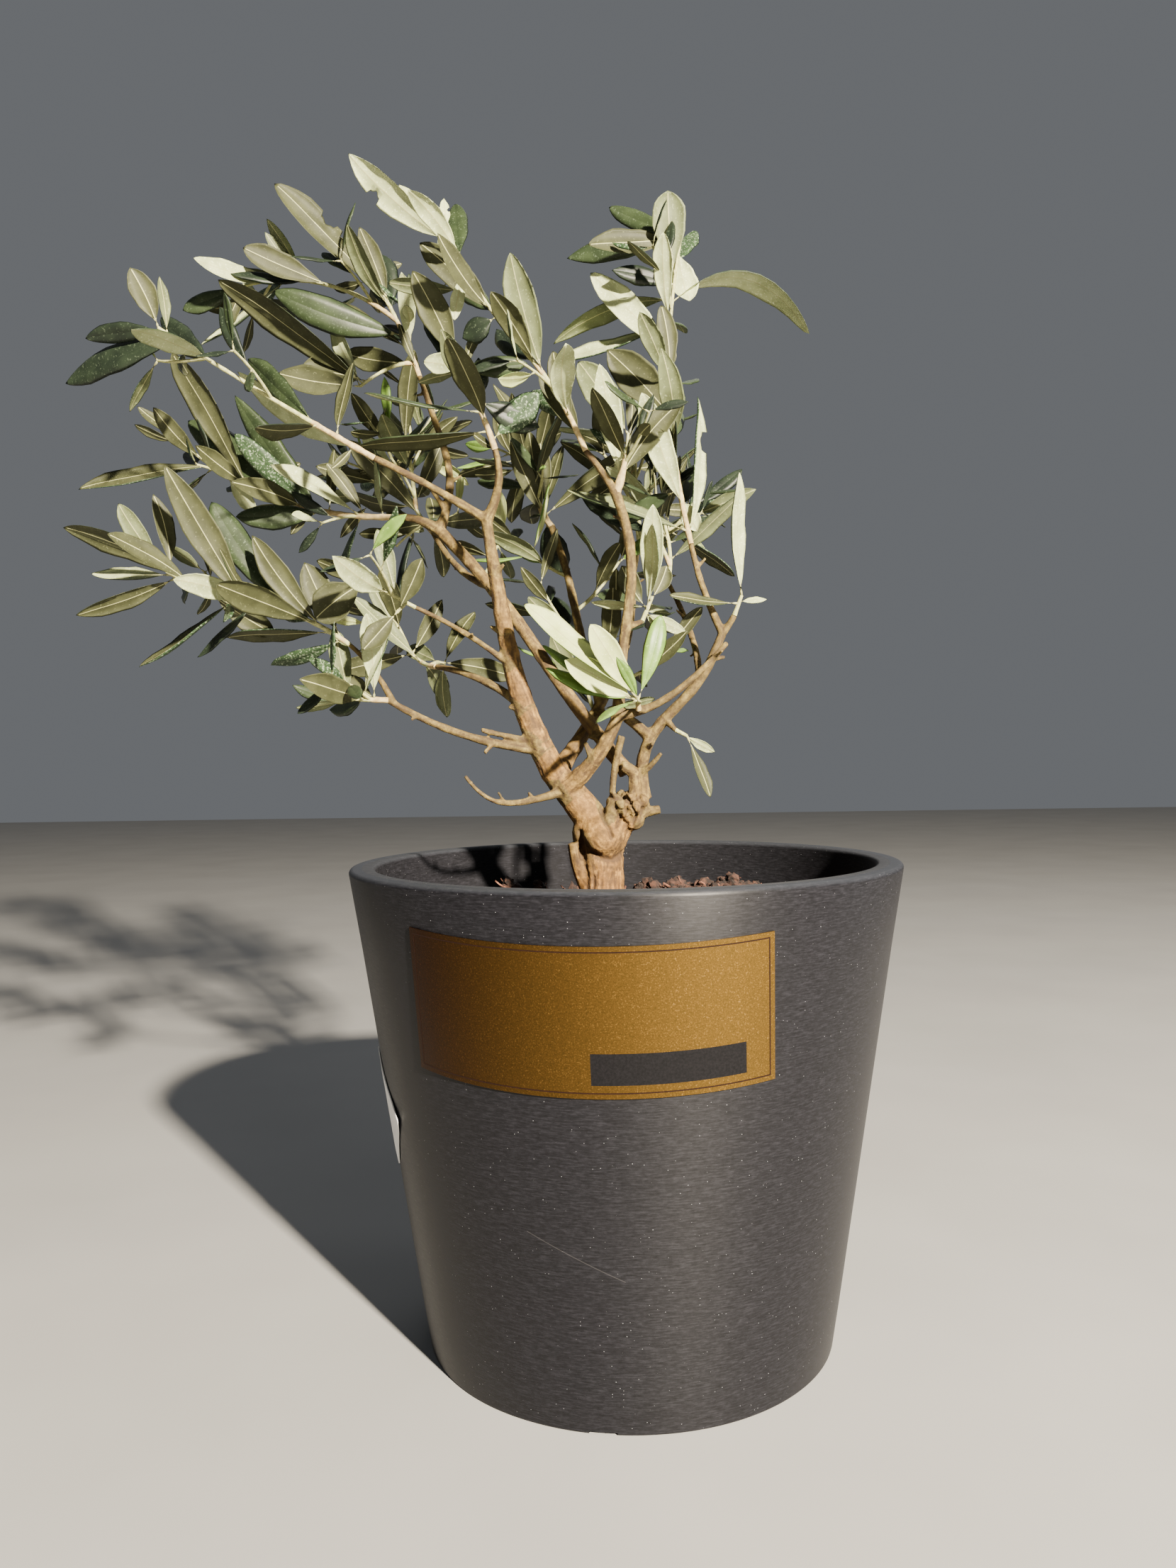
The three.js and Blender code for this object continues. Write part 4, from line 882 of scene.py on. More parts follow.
def pairedLeaf(twig, place, roll, side, seed, count, attempt):  # one of two opposite leaves
    g = growth
    along = headingOn(twig, place)
    noisy = swing(seed, count + attempt * g["attemptStep"])
    spread = math.radians(g["pairSpread"] + g["pairSpreadNoise"] * noisy)
    heading = along * math.cos(spread) + outwardOf(along, roll) * (side * math.sin(spread))
    root = pointOn(twig, place)
    scale = twig.get("scale", 1)
    size = g["leafLength"] * mix(g["leafSizes"], chance(seed, count + g["sizeDraw"]))
    size *= (1 - g["leafTipLoss"] * place) * scale
    facing = (-along + heading * along.dot(heading)).normalized()
    return dict(root=root - heading * g["rootDepth"], tip=root + heading * size,
                facing=turned(facing, heading, g["pairLean"] * swing(seed, count + g["turnDraw"])),
                breadth=g["slenderness"] * size + g["extraBreadth"] * scale,
                arch=g["arch"] * swing(seed, count + g["archDraw"]))


def forksOf(main, forks, seed):  # side twigs of a main twig, dealt round it by the golden angle
    g = growth
    made = []
    spread = math.radians(g["forkSpread"])
    for k in range(forks):
        at = mix(g["forkPlaces"], k / (forks - 1))
        along = headingOn(main, at)
        left, depth = acrossOf(along)
        roll = math.radians(g["goldenAngle"] * (k + seed))
        heading = (along * math.cos(spread) + left * (math.sin(spread) * math.cos(roll))
                   + depth * (math.sin(spread) * math.sin(roll)))
        start = pointOn(main, at)
        made.append(dict(start=start, to=start + heading * (lengthOf(main) * mix(g["forkLengths"], at)),
                         bow=[0, 0, g["forkSag"]], pairs=g["forkPairs"]))
    return made


def twigsOf(plan, start, seed):
    main = dict(plan["twigs"][0], start=start)
    side = [dict(twig, start=pointOn(main, twig["at"])) for twig in plan["twigs"][1:]]
    return [main] + side + forksOf(main, plan.get("forks", 0), seed)


def leavesOf(twigs, seed, first=0):  # makers of every leaf: the seen ones, then the opposite pairs
    made = []
    for twig in twigs:
        for given in twig.get("leaves", []):
            made.append((True, partial(seenLeaf, twig, given, seed, first + len(made))))
        pairs = twig.get("pairs", 0)
        crossed = "leaves" not in twig
        for k in range(pairs):
            roll = math.pi / 2 + (math.pi / 2 * k + seed if crossed else chance(seed, k) - 0.5)
            at = mix([growth["firstLeafGap"] / lengthOf(twig), 1], (k + (1 if crossed else 0.5)) / pairs)
            for side in (1, -1):
                made.append((False, partial(pairedLeaf, twig, at, roll, side, seed, first + len(made))))
    return made


def addLeaves(spray, makers, outside, kind):  # each at the first of its angles that is free
    for seen, make in makers:
        spare, chosen = None, None
        for attempt in range(growth["attempts"]):
            leaf = make(attempt)
            if leafShape(leaf, growth["gap"]).touchesAny(outside):
                continue
            length, heading, across, rise = leafAxes(leaf)
            beyondRoot = leaf["root"] + heading * min(growth["freeRoot"], 0.25 * length)
            if not leafShape(dict(leaf, root=beyondRoot)).touchesAny(spray["solids"]):
                chosen = leaf
                break
            spare = spare or leaf
        if seen and chosen is None:
            chosen = spare
        if chosen is not None:
            spray["leaves"].append(dict(chosen, kind=kind, number=len(spray["leaves"])))
            spray["solids"].append(leafShape(chosen))


def growLimbs():  # every limb with its start worked out, and the plain shapes that leaves keep off
    placed = {}
    rooms = [boughRoom(path) for path in [trunk["stem"]] + trunk["arms"]]
    for name, plan in boughs.items():
        limb = dict(plan)
        if "on" in plan:
            limb["start"] = pointOn(placed[plan["on"]], plan["at"])
        if "stub" in plan:
            limb["stub"] = dict(plan["stub"], start=pointOn(limb, plan["stub"]["at"]))
            rooms.append(boughRoom(limb["stub"]))
        placed[name] = limb
        rooms.append(boughRoom(limb))
    return placed, rooms


def ballShape(centre, radius):
    rows = [(0, 0), (0.87, 0.25), (1, 0.5), (0.87, 0.75), (0, 1)]
    return carried(rows, 8, lambda t, x, z: Vector(centre) + Vector((x, z, 2 * t - 1)) * radius)


def beside(spray, kind="solids"):  # the shapes of all the other sprays
    return [shape for other in grown if other is not spray for shape in other[kind]]


def bearerOf(name):  # the limb or stub that a spray grows on
    plan = sprays[name]
    return limbs[plan["on"]]["stub"] if plan.get("at") == "stub" else limbs[plan["on"]]


def growSprays():  # every spray's twigs and leaves; a leaf that meets what is there is left out
    burrs = [ballShape(centre, radius + growth["gap"]) for centre, radius in trunk["burrs"]]
    for seed, (name, plan) in enumerate(sprays.items(), 1):
        twigs = twigsOf(plan, bearerOf(name)["to"], seed)
        grown.append(dict(name=name, seed=seed, twigs=twigs, leaves=[], solids=[twigShape(t) for t in twigs],
                          rooms=[twigShape(t, growth["gap"]) for t in twigs]))
    for spray in grown:
        outside = woodRooms + burrs + beside(spray, "rooms") + beside(spray)
        addLeaves(spray, leavesOf(spray["twigs"], spray["seed"]), outside, "main")


# Finer shoots: side shoots with small leaves of their own, in the depth of each spray, where the
# photograph shows no sky. The number is how many each twig of the spray carries.

fine = {
    "counts": {"spray_far_left": 2, "spray_left": 3, "spray_low_left": 2, "spray_low": 1,
               "spray_low_upper": 1, "spray_low_mid": 1, "spray_top_left": 2, "spray_top": 2,
               "spray_upper_left": 2,
               "spray_centre": 2, "spray_tall": 1, "spray_front": 2, "spray_back_centre": 2,
               "spray_hanging": 1, "spray_rear": 3, "spray_rear_right": 1, "spray_rear_left": 3},
    "places": [0.15, 0.88], "lengths": [16, 27], "spread": 48, "scales": [0.5, 0.78], "pairs": 2, "sag": 0.06,
    "reach": 4, "depthRoll": 0.6, "lengthDraw": 0.1, "scaleDraw": 0.6, "rollDraw": 0.85, "seedShift": 40,
    "freeFrom": 0.3, "twigKeys": 7,
}


def shootsOf(spray, p):
    made = []
    seed, spread = spray["seed"], math.radians(p["spread"])
    count = p["counts"].get(spray["name"], 0)
    for twigNumber, twig in enumerate(spray["twigs"]):
        for k in range(count):
            key = twigNumber * p["twigKeys"] + k
            at = mix(p["places"], (k + chance(seed, key)) / count)
            along = headingOn(twig, at)
            roll = math.pi / 2 * (1 if k % 2 else -1) + p["depthRoll"] * swing(seed, key + p["rollDraw"])
            outward = outwardOf(along, roll)
            heading = along * math.cos(spread) + outward * math.sin(spread)
            start = pointOn(twig, at)
            length = mix(p["lengths"], chance(seed, key + p["lengthDraw"]))
            made.append(dict(start=start, to=start + heading * length, fine=True, pairs=p["pairs"],
                             bow=heading.cross(outward) * p["sag"] * length,
                             scale=mix(p["scales"], chance(seed, key + p["scaleDraw"]))))
    return made


def growShoots(p):
    for spray in grown:
        low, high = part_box(spray["name"])
        low, high = low / mm - Vector([p["reach"]] * 3), high / mm + Vector([p["reach"]] * 3)

        def within(place):
            return all(low[k] < place[k] < high[k] for k in range(3))
        outside = woodRooms + beside(spray)
        for shoot in shootsOf(spray, p):
            free = shootRoom(shoot, p["freeFrom"])
            if not within(shoot["to"]) or free.touchesAny(outside + spray["solids"]):
                continue
            spray["solids"].append(shootRoom(shoot))
            before = len(spray["leaves"])
            addLeaves(spray, leavesOf([shoot], spray["seed"] + p["seedShift"], before), outside, "fine")
            kept = [leaf for leaf in spray["leaves"][before:] if within(leaf["tip"])]
            spray["leaves"][before:] = kept
            if kept:
                spray["twigs"].append(shoot)


# Leafy shoots low on the limbs, in the middle of the crown: limb, how far along it, heading, length, pairs

inner = {
    "shoots": [("back_upper", 0.3, (-0.6, 0.2, 0.9), 34, 4), ("back_upper", 0.5, (0.7, 0.2, 0.8), 30, 3),
               ("middle", 0.16, (0.8, 0.5, 0.5), 26, 3), ("back_upper", 0.7, (-0.8, 0.1, 0.6), 28, 3),
               ("second", 0.78, (0.7, 0.5, 0.6), 30, 3), ("back", 0.85, (0.35, 0.3, 1), 34, 3),
               ("back_upper", 0.08, (0.1, 0.3, 1), 34, 3), ("back", 0.6, (0.3, 0.8, 0.6), 26, 3)],
    "spray": "spray_back_centre", "scale": 0.8, "bow": 0.07, "turns": [0, 45, -45, 90, -90], "root": 0.9,
    "freeFrom": 0.25, "seedShift": 70,
}


def growInner(p):
    spray = next(s for s in grown if s["name"] == p["spray"])
    outside = woodRooms + beside(spray)
    for limbName, at, heading, length, pairs in p["shoots"]:
        start = pointOn(limbs[limbName], at)
        for turn in p["turns"]:  # it takes the first bearing that is free
            along = (Matrix.Rotation(math.radians(turn), 3, "Z") @ Vector(heading)).normalized()
            shoot = dict(start=start, to=start + along * length, bow=Vector((0, 0, -p["bow"] * length)),
                         pairs=pairs, scale=p["scale"], fine=True, root=p["root"])
            free = shootRoom(shoot, p["freeFrom"])
            if not free.touchesAny(outside + spray["solids"]):
                spray["twigs"].append(shoot)
                spray["solids"].append(free)
                seed = spray["seed"] + p["seedShift"]
                addLeaves(spray, leavesOf([shoot], seed, len(spray["leaves"])), outside, "fine")
                break


limbs, woodRooms = growLimbs()
grown = []
growSprays()
print("leaves placed:", sum(len(s["leaves"]) for s in grown))
growShoots(fine)
growInner(inner)
print("with the finer shoots:", sum(len(s["leaves"]) for s in grown), "leaves on",
      sum(len(s["twigs"]) for s in grown), "twigs")


# Wood: trunk, burr, boughs and their broken spurs as one surface, with bark relief

wood = {
    "voxel": 0.6, "quickVoxel": 1.8, "ringSides": 16, "stubSides": 12, "spurSides": 10, "step": 1.6,
    "sampleStep": 1.2, "nodeEvery": 17, "nodeSwell": 0.09, "nodeLength": 1.6,
    "collarSwell": 0.32, "collarLength": 4, "collarBelow": 3.8,
    "spurEvery": 31, "spurLengths": [2.2, 5.5], "spurRadii": [0.55, 0.95], "deadSpurs": 3, "spurLean": 0.6,
    "spurFoot": 0.6, "spurEnd": 0.5,
    # relief is from 0 to 1: at level the surface stays in place, and even is what smooth wood has
    "level": 0.55, "barkNoise": (0.7, 2.2, 4), "crackNarrow": 3.2,
    "barkAcross": 1.25, "barkAlong": 8.5, "relief": [0.16, 0.62], "reliefGrowth": 0.055,
    "limbShift": (7.3, 3.1, 0), "ridges": 0.42, "cracks": 0.34, "crackScale": 0.62, "crackShift": (9, 4, 2),
    "burrRelief": 1.9, "burrReach": 9, "burrLump": 2.6, "burrGrain": 1.1, "burrNoise": (0.8, 2.2, 3),
    "burrFolds": 4, "even": 0.62, "elbowEven": 0.6, "elbowShallow": 0.5,
    "rootRelief": 0.25, "rootFrom": 180, "rootBelow": 196, "creasesBelow": 222, "creaseShade": 0.5,
    "softLeast": 0.12, "softRounds": 14, "softFrom": 3.2, "softKeep": 0.85, "softReach": 9.5,
    "thinBelow": 4.2,
}


def tubeInto(build, path, radiusAt, sides, step):
    rings = max(3, round(lengthOf(path) / step))
    rows = []
    for i in range(rings + 1):
        t = i / rings
        side, depth = acrossOf(headingOn(path, t))
        centre, radius = pointOn(path, t), radiusAt(t)
        rows.append([build.verts.new((centre + (side * math.sin(a) + depth * math.cos(a)) * radius) * mm)
                     for a in (2 * math.pi * k / sides for k in range(sides))])
    for row, after in zip(rows, rows[1:]):
        for k in range(sides):
            build.faces.new((row[k], row[(k + 1) % sides], after[(k + 1) % sides], after[k]))
    build.faces.new(list(reversed(rows[0])))
    build.faces.new(rows[-1])


def ballInto(build, centre, radius):
    for v in bmesh.ops.create_icosphere(build, subdivisions=3, radius=radius * mm)["verts"]:
        v.co += Vector(centre) * mm


def limbRadius(path, p, phase):  # taper, a flare where it leaves its parent, and slight rings at old nodes
    length = lengthOf(path)

    def radiusAt(t):
        radius = mix(path["girth"], t)
        if path["girth"][0] < p["collarBelow"]:
            radius *= 1 + p["collarSwell"] * math.exp(-t * length / p["collarLength"])
        along = (t * length + phase * p["nodeEvery"]) % p["nodeEvery"] - p["nodeEvery"] / 2
        return radius * (1 + p["nodeSwell"] * math.exp(-(along / p["nodeLength"]) ** 2))
    return radiusAt


def spursOf(limb, number, count, p):  # short broken side shoots
    made = []
    for k in range(count):
        at = (k + 0.35 + 0.5 * chance(number + 1, k)) / count
        along = headingOn(limb, at)
        out = outwardOf(along, 2 * math.pi * chance(number + 1, k + 0.5))
        radius = mix(limb["girth"], at)
        reach = radius + mix(p["spurLengths"], chance(number + 2, k))
        start = pointOn(limb, at)
        end = min(radius * p["spurEnd"], mix(p["spurRadii"], chance(number + 3, k)))
        made.append(dict(start=start, to=start + (out + along * p["spurLean"]).normalized() * reach,
                         girth=[radius * p["spurFoot"], end]))
    return made


def buildWood(build, p):  # tubes and balls that overlap; it gives back the centrelines
    t = trunk
    stem = t["stem"]
    paths = [stem]

    def grow(path, sides, radiusAt=None):
        tubeInto(build, path, radiusAt or partial(mix, path["girth"]), sides, p["step"])
        paths.append(path)

    def stemRadius(place):
        above = max(0, stem["start"][2] + place * lengthOf(stem) - t["flareFrom"])
        return mix(stem["girth"], place) + t["flare"] * math.exp(-above / t["flareLength"])
    tubeInto(build, stem, stemRadius, t["stemSides"], t["stemStep"])
    for arm in t["arms"]:
        grow(arm, p["ringSides"])
    for centre, radius in t["burrs"] + t["overhang"]:
        ballInto(build, centre, radius)
    for k in range(t["knobs"]):  # small knobs all over the burr, dealt by the golden angle
        height = 1 - 2 * (k + 0.5) / t["knobs"]
        turn = math.radians(growth["goldenAngle"] * k)
        flat = math.sqrt(1 - height ** 2)
        out = Vector((flat * math.cos(turn), flat * math.sin(turn), height))
        out = Vector(a * reach for a, reach in zip(out, t["knobReach"]))
        ballInto(build, Vector(t["knobCentre"]) + out, mix(t["knobSizes"], chance(3, k)))
    for number, (name, limb) in enumerate(limbs.items()):
        grow(limb, p["ringSides"], limbRadius(limb, p, chance(5, number)))
        if "stub" in limb:
            grow(limb["stub"], p["stubSides"], limbRadius(limb["stub"], p, 0.3))
        count = p["deadSpurs"] if name == "dead_twig" else int(lengthOf(limb) / p["spurEvery"])
        for spur in spursOf(limb, number, count, p):
            grow(spur, p["spurSides"])
    return paths


def nearestSamples(paths, p):  # finds the nearest point of the centrelines, with its heading and girth
    samples = []
    for number, path in enumerate(paths):
        count = max(3, round(lengthOf(path) / p["sampleStep"]))
        for t in [i / count for i in range(count + 1)]:
            samples.append((pointOn(path, t), headingOn(path, t), t * lengthOf(path), mix(path["girth"], t),
                            number))
    nearest = KDTree(len(samples))
    for i, sample in enumerate(samples):
        nearest.insert(sample[0], i)
    nearest.balance()
    return lambda place: samples[nearest.find(place)[1]]


def clamped(value):
    return min(1, max(0, value))


def fadeFrom(place, centre, reach):
    return math.exp(-((place - Vector(centre)).length / reach) ** 4)


def creaseDepth(place, creases):  # how deep the nearest crease is cut, seen from the front
    flat, sunk = Vector((place.x, place.z)), 0
    for a, b, width, deep in creases:
        run = b - a
        t = clamped((flat - a).dot(run) / run.length_squared)
        sunk = max(sunk, deep * math.exp(-((flat - a - run * t).length / width) ** 2))
    return sunk


def carveBark(mesh, core, p):  # lengthwise cracks and ridges along each limb, lumps on the burr
    creases = [(Vector(a), Vector(b), width, deep) for points, width, deep in trunk["creases"]
               for a, b in zip(points, points[1:])]
    relief, moved, thin = [], [], []
    for v in mesh.vertices:
        place = v.co / mm
        centre, heading, along, radius, number = core(place)
        away = place - centre
        side, depth = acrossOf(heading)
        run = along + away.dot(heading)
        local = Vector((away.dot(side), away.dot(depth), run / p["barkAlong"] * p["barkAcross"]))
        local /= p["barkAcross"]
        local += Vector(number * shift for shift in p["limbShift"])
        ridge = noise.fractal(local, *p["barkNoise"])
        crack = 1 - abs(noise.noise(local * p["crackScale"] + Vector(p["crackShift"]))) * p["crackNarrow"]
        height = 0.5 + p["ridges"] * ridge - p["cracks"] * max(0, crack) ** 2
        deepest = min(p["relief"][1], p["relief"][0] + p["reliefGrowth"] * radius)
        nearBurr = fadeFrom(place, trunk["burrs"][0][0], p["burrReach"])
        if nearBurr > 0.01:
            lumps = noise.voronoi(place / p["burrLump"])[0]
            gap = max(0, 1 - (lumps[1] - lumps[0]) * p["burrFolds"])
            # the crevices between the lumps sit lower, and the bark finish paints them darker as shade
            knotty = p["even"] - 0.6 * gap + 0.25 * noise.fractal(place / p["burrGrain"], *p["burrNoise"])
            height = height * (1 - nearBurr) + knotty * nearBurr
            deepest += p["burrRelief"] * nearBurr
        smooth = fadeFrom(place, trunk["elbow"], trunk["elbowReach"]) * (1 - nearBurr)
        height += (p["even"] - height) * smooth * p["elbowEven"]
        deepest *= 1 - smooth * p["elbowShallow"]
        if place.z < p["rootBelow"] and number == 0:
            faded = max(0, place.z - p["rootFrom"]) / (p["rootBelow"] - p["rootFrom"])
            deepest += p["rootRelief"] * (1 - faded)
        inFront = place.z < p["creasesBelow"] and v.normal.y < 0.25
        sunk = creaseDepth(place, creases) if inFront else 0
        # painted shade: the relief is also lowered in the creases, so the bark finish darkens them
        height = clamped(height - p["creaseShade"] * min(1, sunk))
        relief.append(height)
        thin.append(clamped((p["thinBelow"] - radius) / 2))
        moved.append(v.co + v.normal * (((height - p["level"]) * deepest - sunk) * mm))
    for v, co in zip(mesh.vertices, moved):
        v.co = co
    for name, values in (("relief", relief), ("thin", thin)):
        mesh.attributes.new(name, "FLOAT", "POINT").data.foreach_set("value", values)


def makeWood(p):
    build = bmesh.new()
    paths = buildWood(build, p)
    mesh = bpy.data.meshes.new("woodCore")
    build.to_mesh(mesh)
    build.free()
    piece = linked("trunkAndBoughs", mesh)
    remesh = piece.modifiers.new("skin", "REMESH")
    remesh.mode, remesh.voxel_size = "VOXEL", p["voxel"] * mm * 1
    plainMesh(piece)
    core = nearestSamples(paths, p)
    soft = piece.vertex_groups.new(name="soft")  # old thick wood is rounded over more than thin limbs
    for v in piece.data.vertices:
        place = v.co / mm
        keep = 1 - p["softKeep"] * fadeFrom(place, trunk["burrs"][0][0], p["softReach"])
        share = min(1, max(p["softLeast"], (core(place)[3] - p["softFrom"]) / 2))
        soft.add([v.index], share * keep, "REPLACE")
    smooth = piece.modifiers.new("soften", "SMOOTH")
    smooth.factor, smooth.iterations, smooth.vertex_group = 0.5, p["softRounds"], "soft"
    plainMesh(piece)
    piece.vertex_groups.clear()
    carveBark(piece.data, core, p)
    piece.data.materials.clear()
    piece.data.materials.append(oliveBark)
    piece.data.shade_smooth()
    settle(piece, "bark", "trunk", *limbs)


makeWood(wood)


# Twigs: lines with a girth at each point, made round by Geometry Nodes

twigPlan = {"step": 2.2, "sides": 8, "foot": 0.96, "sideFoot": 1.05, "end": 0.55, "fineFoot": 0.7,
            "fineEnd": 0.42, "taper": 0.8, "nodeSwell": 0.22, "nodeLength": 1.1, "greenBelow": 1.0}


def twigLine(twig, leaves, foot, p):  # the points and girths of one twig, thicker where a leaf sits
    count = max(4, round(lengthOf(twig) / p["step"]))
    if "fine" in twig:
        foot, end = twig.get("root", p["fineFoot"]), p["fineEnd"]
    else:
        end = p["end"]
    start = Vector(twig["start"])
    nodes = [(leaf["root"] - start).length for leaf in leaves]
    rows = []
    for t in [i / count for i in range(count + 1)]:
        place = pointOn(twig, t)
        along = (place - start).length
        swell = max([math.exp(-((along - n) / p["nodeLength"]) ** 2) for n in nodes] or [0])
        radius = foot + (end - foot) * t ** p["taper"]
        rows.append((place, radius * (1 + p["nodeSwell"] * swell)))
    return rows


def makeTubeTree():
    tree, given = newNodeTree("roundTwigs", {"Sides": "Int", "Green Below": "Float",
                                             "Twig Finish": "Material", "Shoot Finish": "Material"})
    girth = addNode(tree, "GeometryNodeInputNamedAttribute", {"data_type": "FLOAT", "Name": "girth"})
    line = addNode(tree, "GeometryNodeMeshToCurve", {0: given["Geometry"]})
    ring = addNode(tree, "GeometryNodeCurvePrimitiveCircle", {"Radius": 1, "Resolution": given["Sides"]})
    tube = addNode(tree, "GeometryNodeCurveToMesh", {"Curve": line, "Profile Curve": ring, "Scale": girth,
                                                     "Fill Caps": True})
    woody = addNode(tree, "GeometryNodeSetMaterial", {"Geometry": tube, "Material": given["Twig Finish"]})
    thin = addNode(tree, "FunctionNodeCompare", {"operation": "LESS_THAN", 0: girth, 1: given["Green Below"]})
    green = addNode(tree, "GeometryNodeSetMaterial", {"Geometry": woody, "Selection": thin,
                                                      "Material": given["Shoot Finish"]})
    real = addNode(tree, "GeometryNodeRealizeInstances", {"Geometry": green})
    addNode(tree, "NodeGroupOutput", {0: real})
    return tree


def makeTwigs(p):
    verts, edges, girths = [], [], []
    for spray in grown:
        foot = bearerOf(spray["name"])["girth"][1] * p["foot"]
        for number, twig in enumerate(spray["twigs"]):
            rows = twigLine(twig, spray["leaves"], min(foot, p["sideFoot"]) if number else foot, p)
            first = len(verts)
            verts += [tuple(place * mm) for place, radius in rows]
            girths += [radius * mm for place, radius in rows]
            edges += [(first + i, first + i + 1) for i in range(len(rows) - 1)]
    mesh = bpy.data.meshes.new("twigLines")
    mesh.from_pydata(verts, edges, [])
    mesh.attributes.new("girth", "FLOAT", "POINT").data.foreach_set("value", girths)
    piece = linked("twigs", mesh)
    useNodeTree(piece, makeTubeTree(), {"Sides": p["sides"], "Green Below": p["greenBelow"] * mm,
                                        "Twig Finish": twigBark, "Shoot Finish": shootBark})
    piece.data.shade_smooth()
    settle(piece, "bark")


makeTwigs(twigPlan)


# Leaves: each its own closed outline, with a petiole, a groove on top, a rib below and rolled edges

leafPlan = {
    "stations": [0.03, 0.08, 0.15, 0.24, 0.34, 0.45, 0.56, 0.67, 0.77, 0.86, 0.93, 0.975], "biteSteps": 10,
    "petiole": [3.4, 5.2], "petioleRadius": 0.5, "thickness": 0.34, "groove": 0.16, "rib": 0.22,
    "ribWidth": 0.17, "roll": 0.42, "edgeRoll": 0.5, "sickle": 0.05, "twist": 0.35, "wave": 0.02, "waves": 9,
    "ripple": 0.035, "ripples": 17, "tip": 0.3, "fullFrom": 30, "leastReach": 0.06, "grooveEnd": 0.6,
    "top": [-1, -0.86, -0.45, -0.08, 0.08, 0.45, 0.86, 1], "under": [0.86, 0.45, 0.1, -0.1, -0.45, -0.86],
    "broadBase": [0.85, 1.15], "broadTip": [0.62, 0.86],
    # by spray and leaf: where each bite begins and ends, on which side, and how deep it goes
    "bites": {
        ("spray_tall", 0): [(0.62, 0.78, 1, 0.55)], ("spray_tall", 1): [(0.35, 0.5, -1, 0.5)],
        ("spray_centre", 2): [(0.5, 0.62, 1, 0.6)], ("spray_upper_left", 1): [(0.7, 0.84, -1, 0.5)],
        ("spray_right", 4): [(0.4, 0.55, 1, 0.45)], ("spray_top", 3): [(0.55, 0.7, 1, 0.5)],
        ("spray_top", 0): [(0.6, 0.72, -1, 0.6)],
        ("spray_top_left", 0): [(0.38, 0.47, 1, 0.5), (0.52, 0.66, 1, 0.35)],
        ("spray_top_left", 2): [(0.6, 0.7, -1, 0.5)], ("spray_left", 1): [(0.5, 0.6, 1, 0.35)]},
}


def leafWidth(s, rise, fall):  # half width along the blade, 1 at its widest
    widest = rise / (rise + fall)
    most = widest ** rise * (1 - widest) ** fall
    return (s ** rise) * ((1 - s) ** fall) / most


def leftBy(bites, s, a):  # what the bites leave of the width there, with a scalloped edge
    left = 1
    for begin, end, side, deep in bites:
        if begin < s < end and a * side > 0:
            chewed = math.pi * (s - begin) / (end - begin)
            left = min(left, 1 - deep * (math.sin(chewed) ** 0.5 * (0.85 + 0.15 * math.cos(4 * chewed))))
    return left


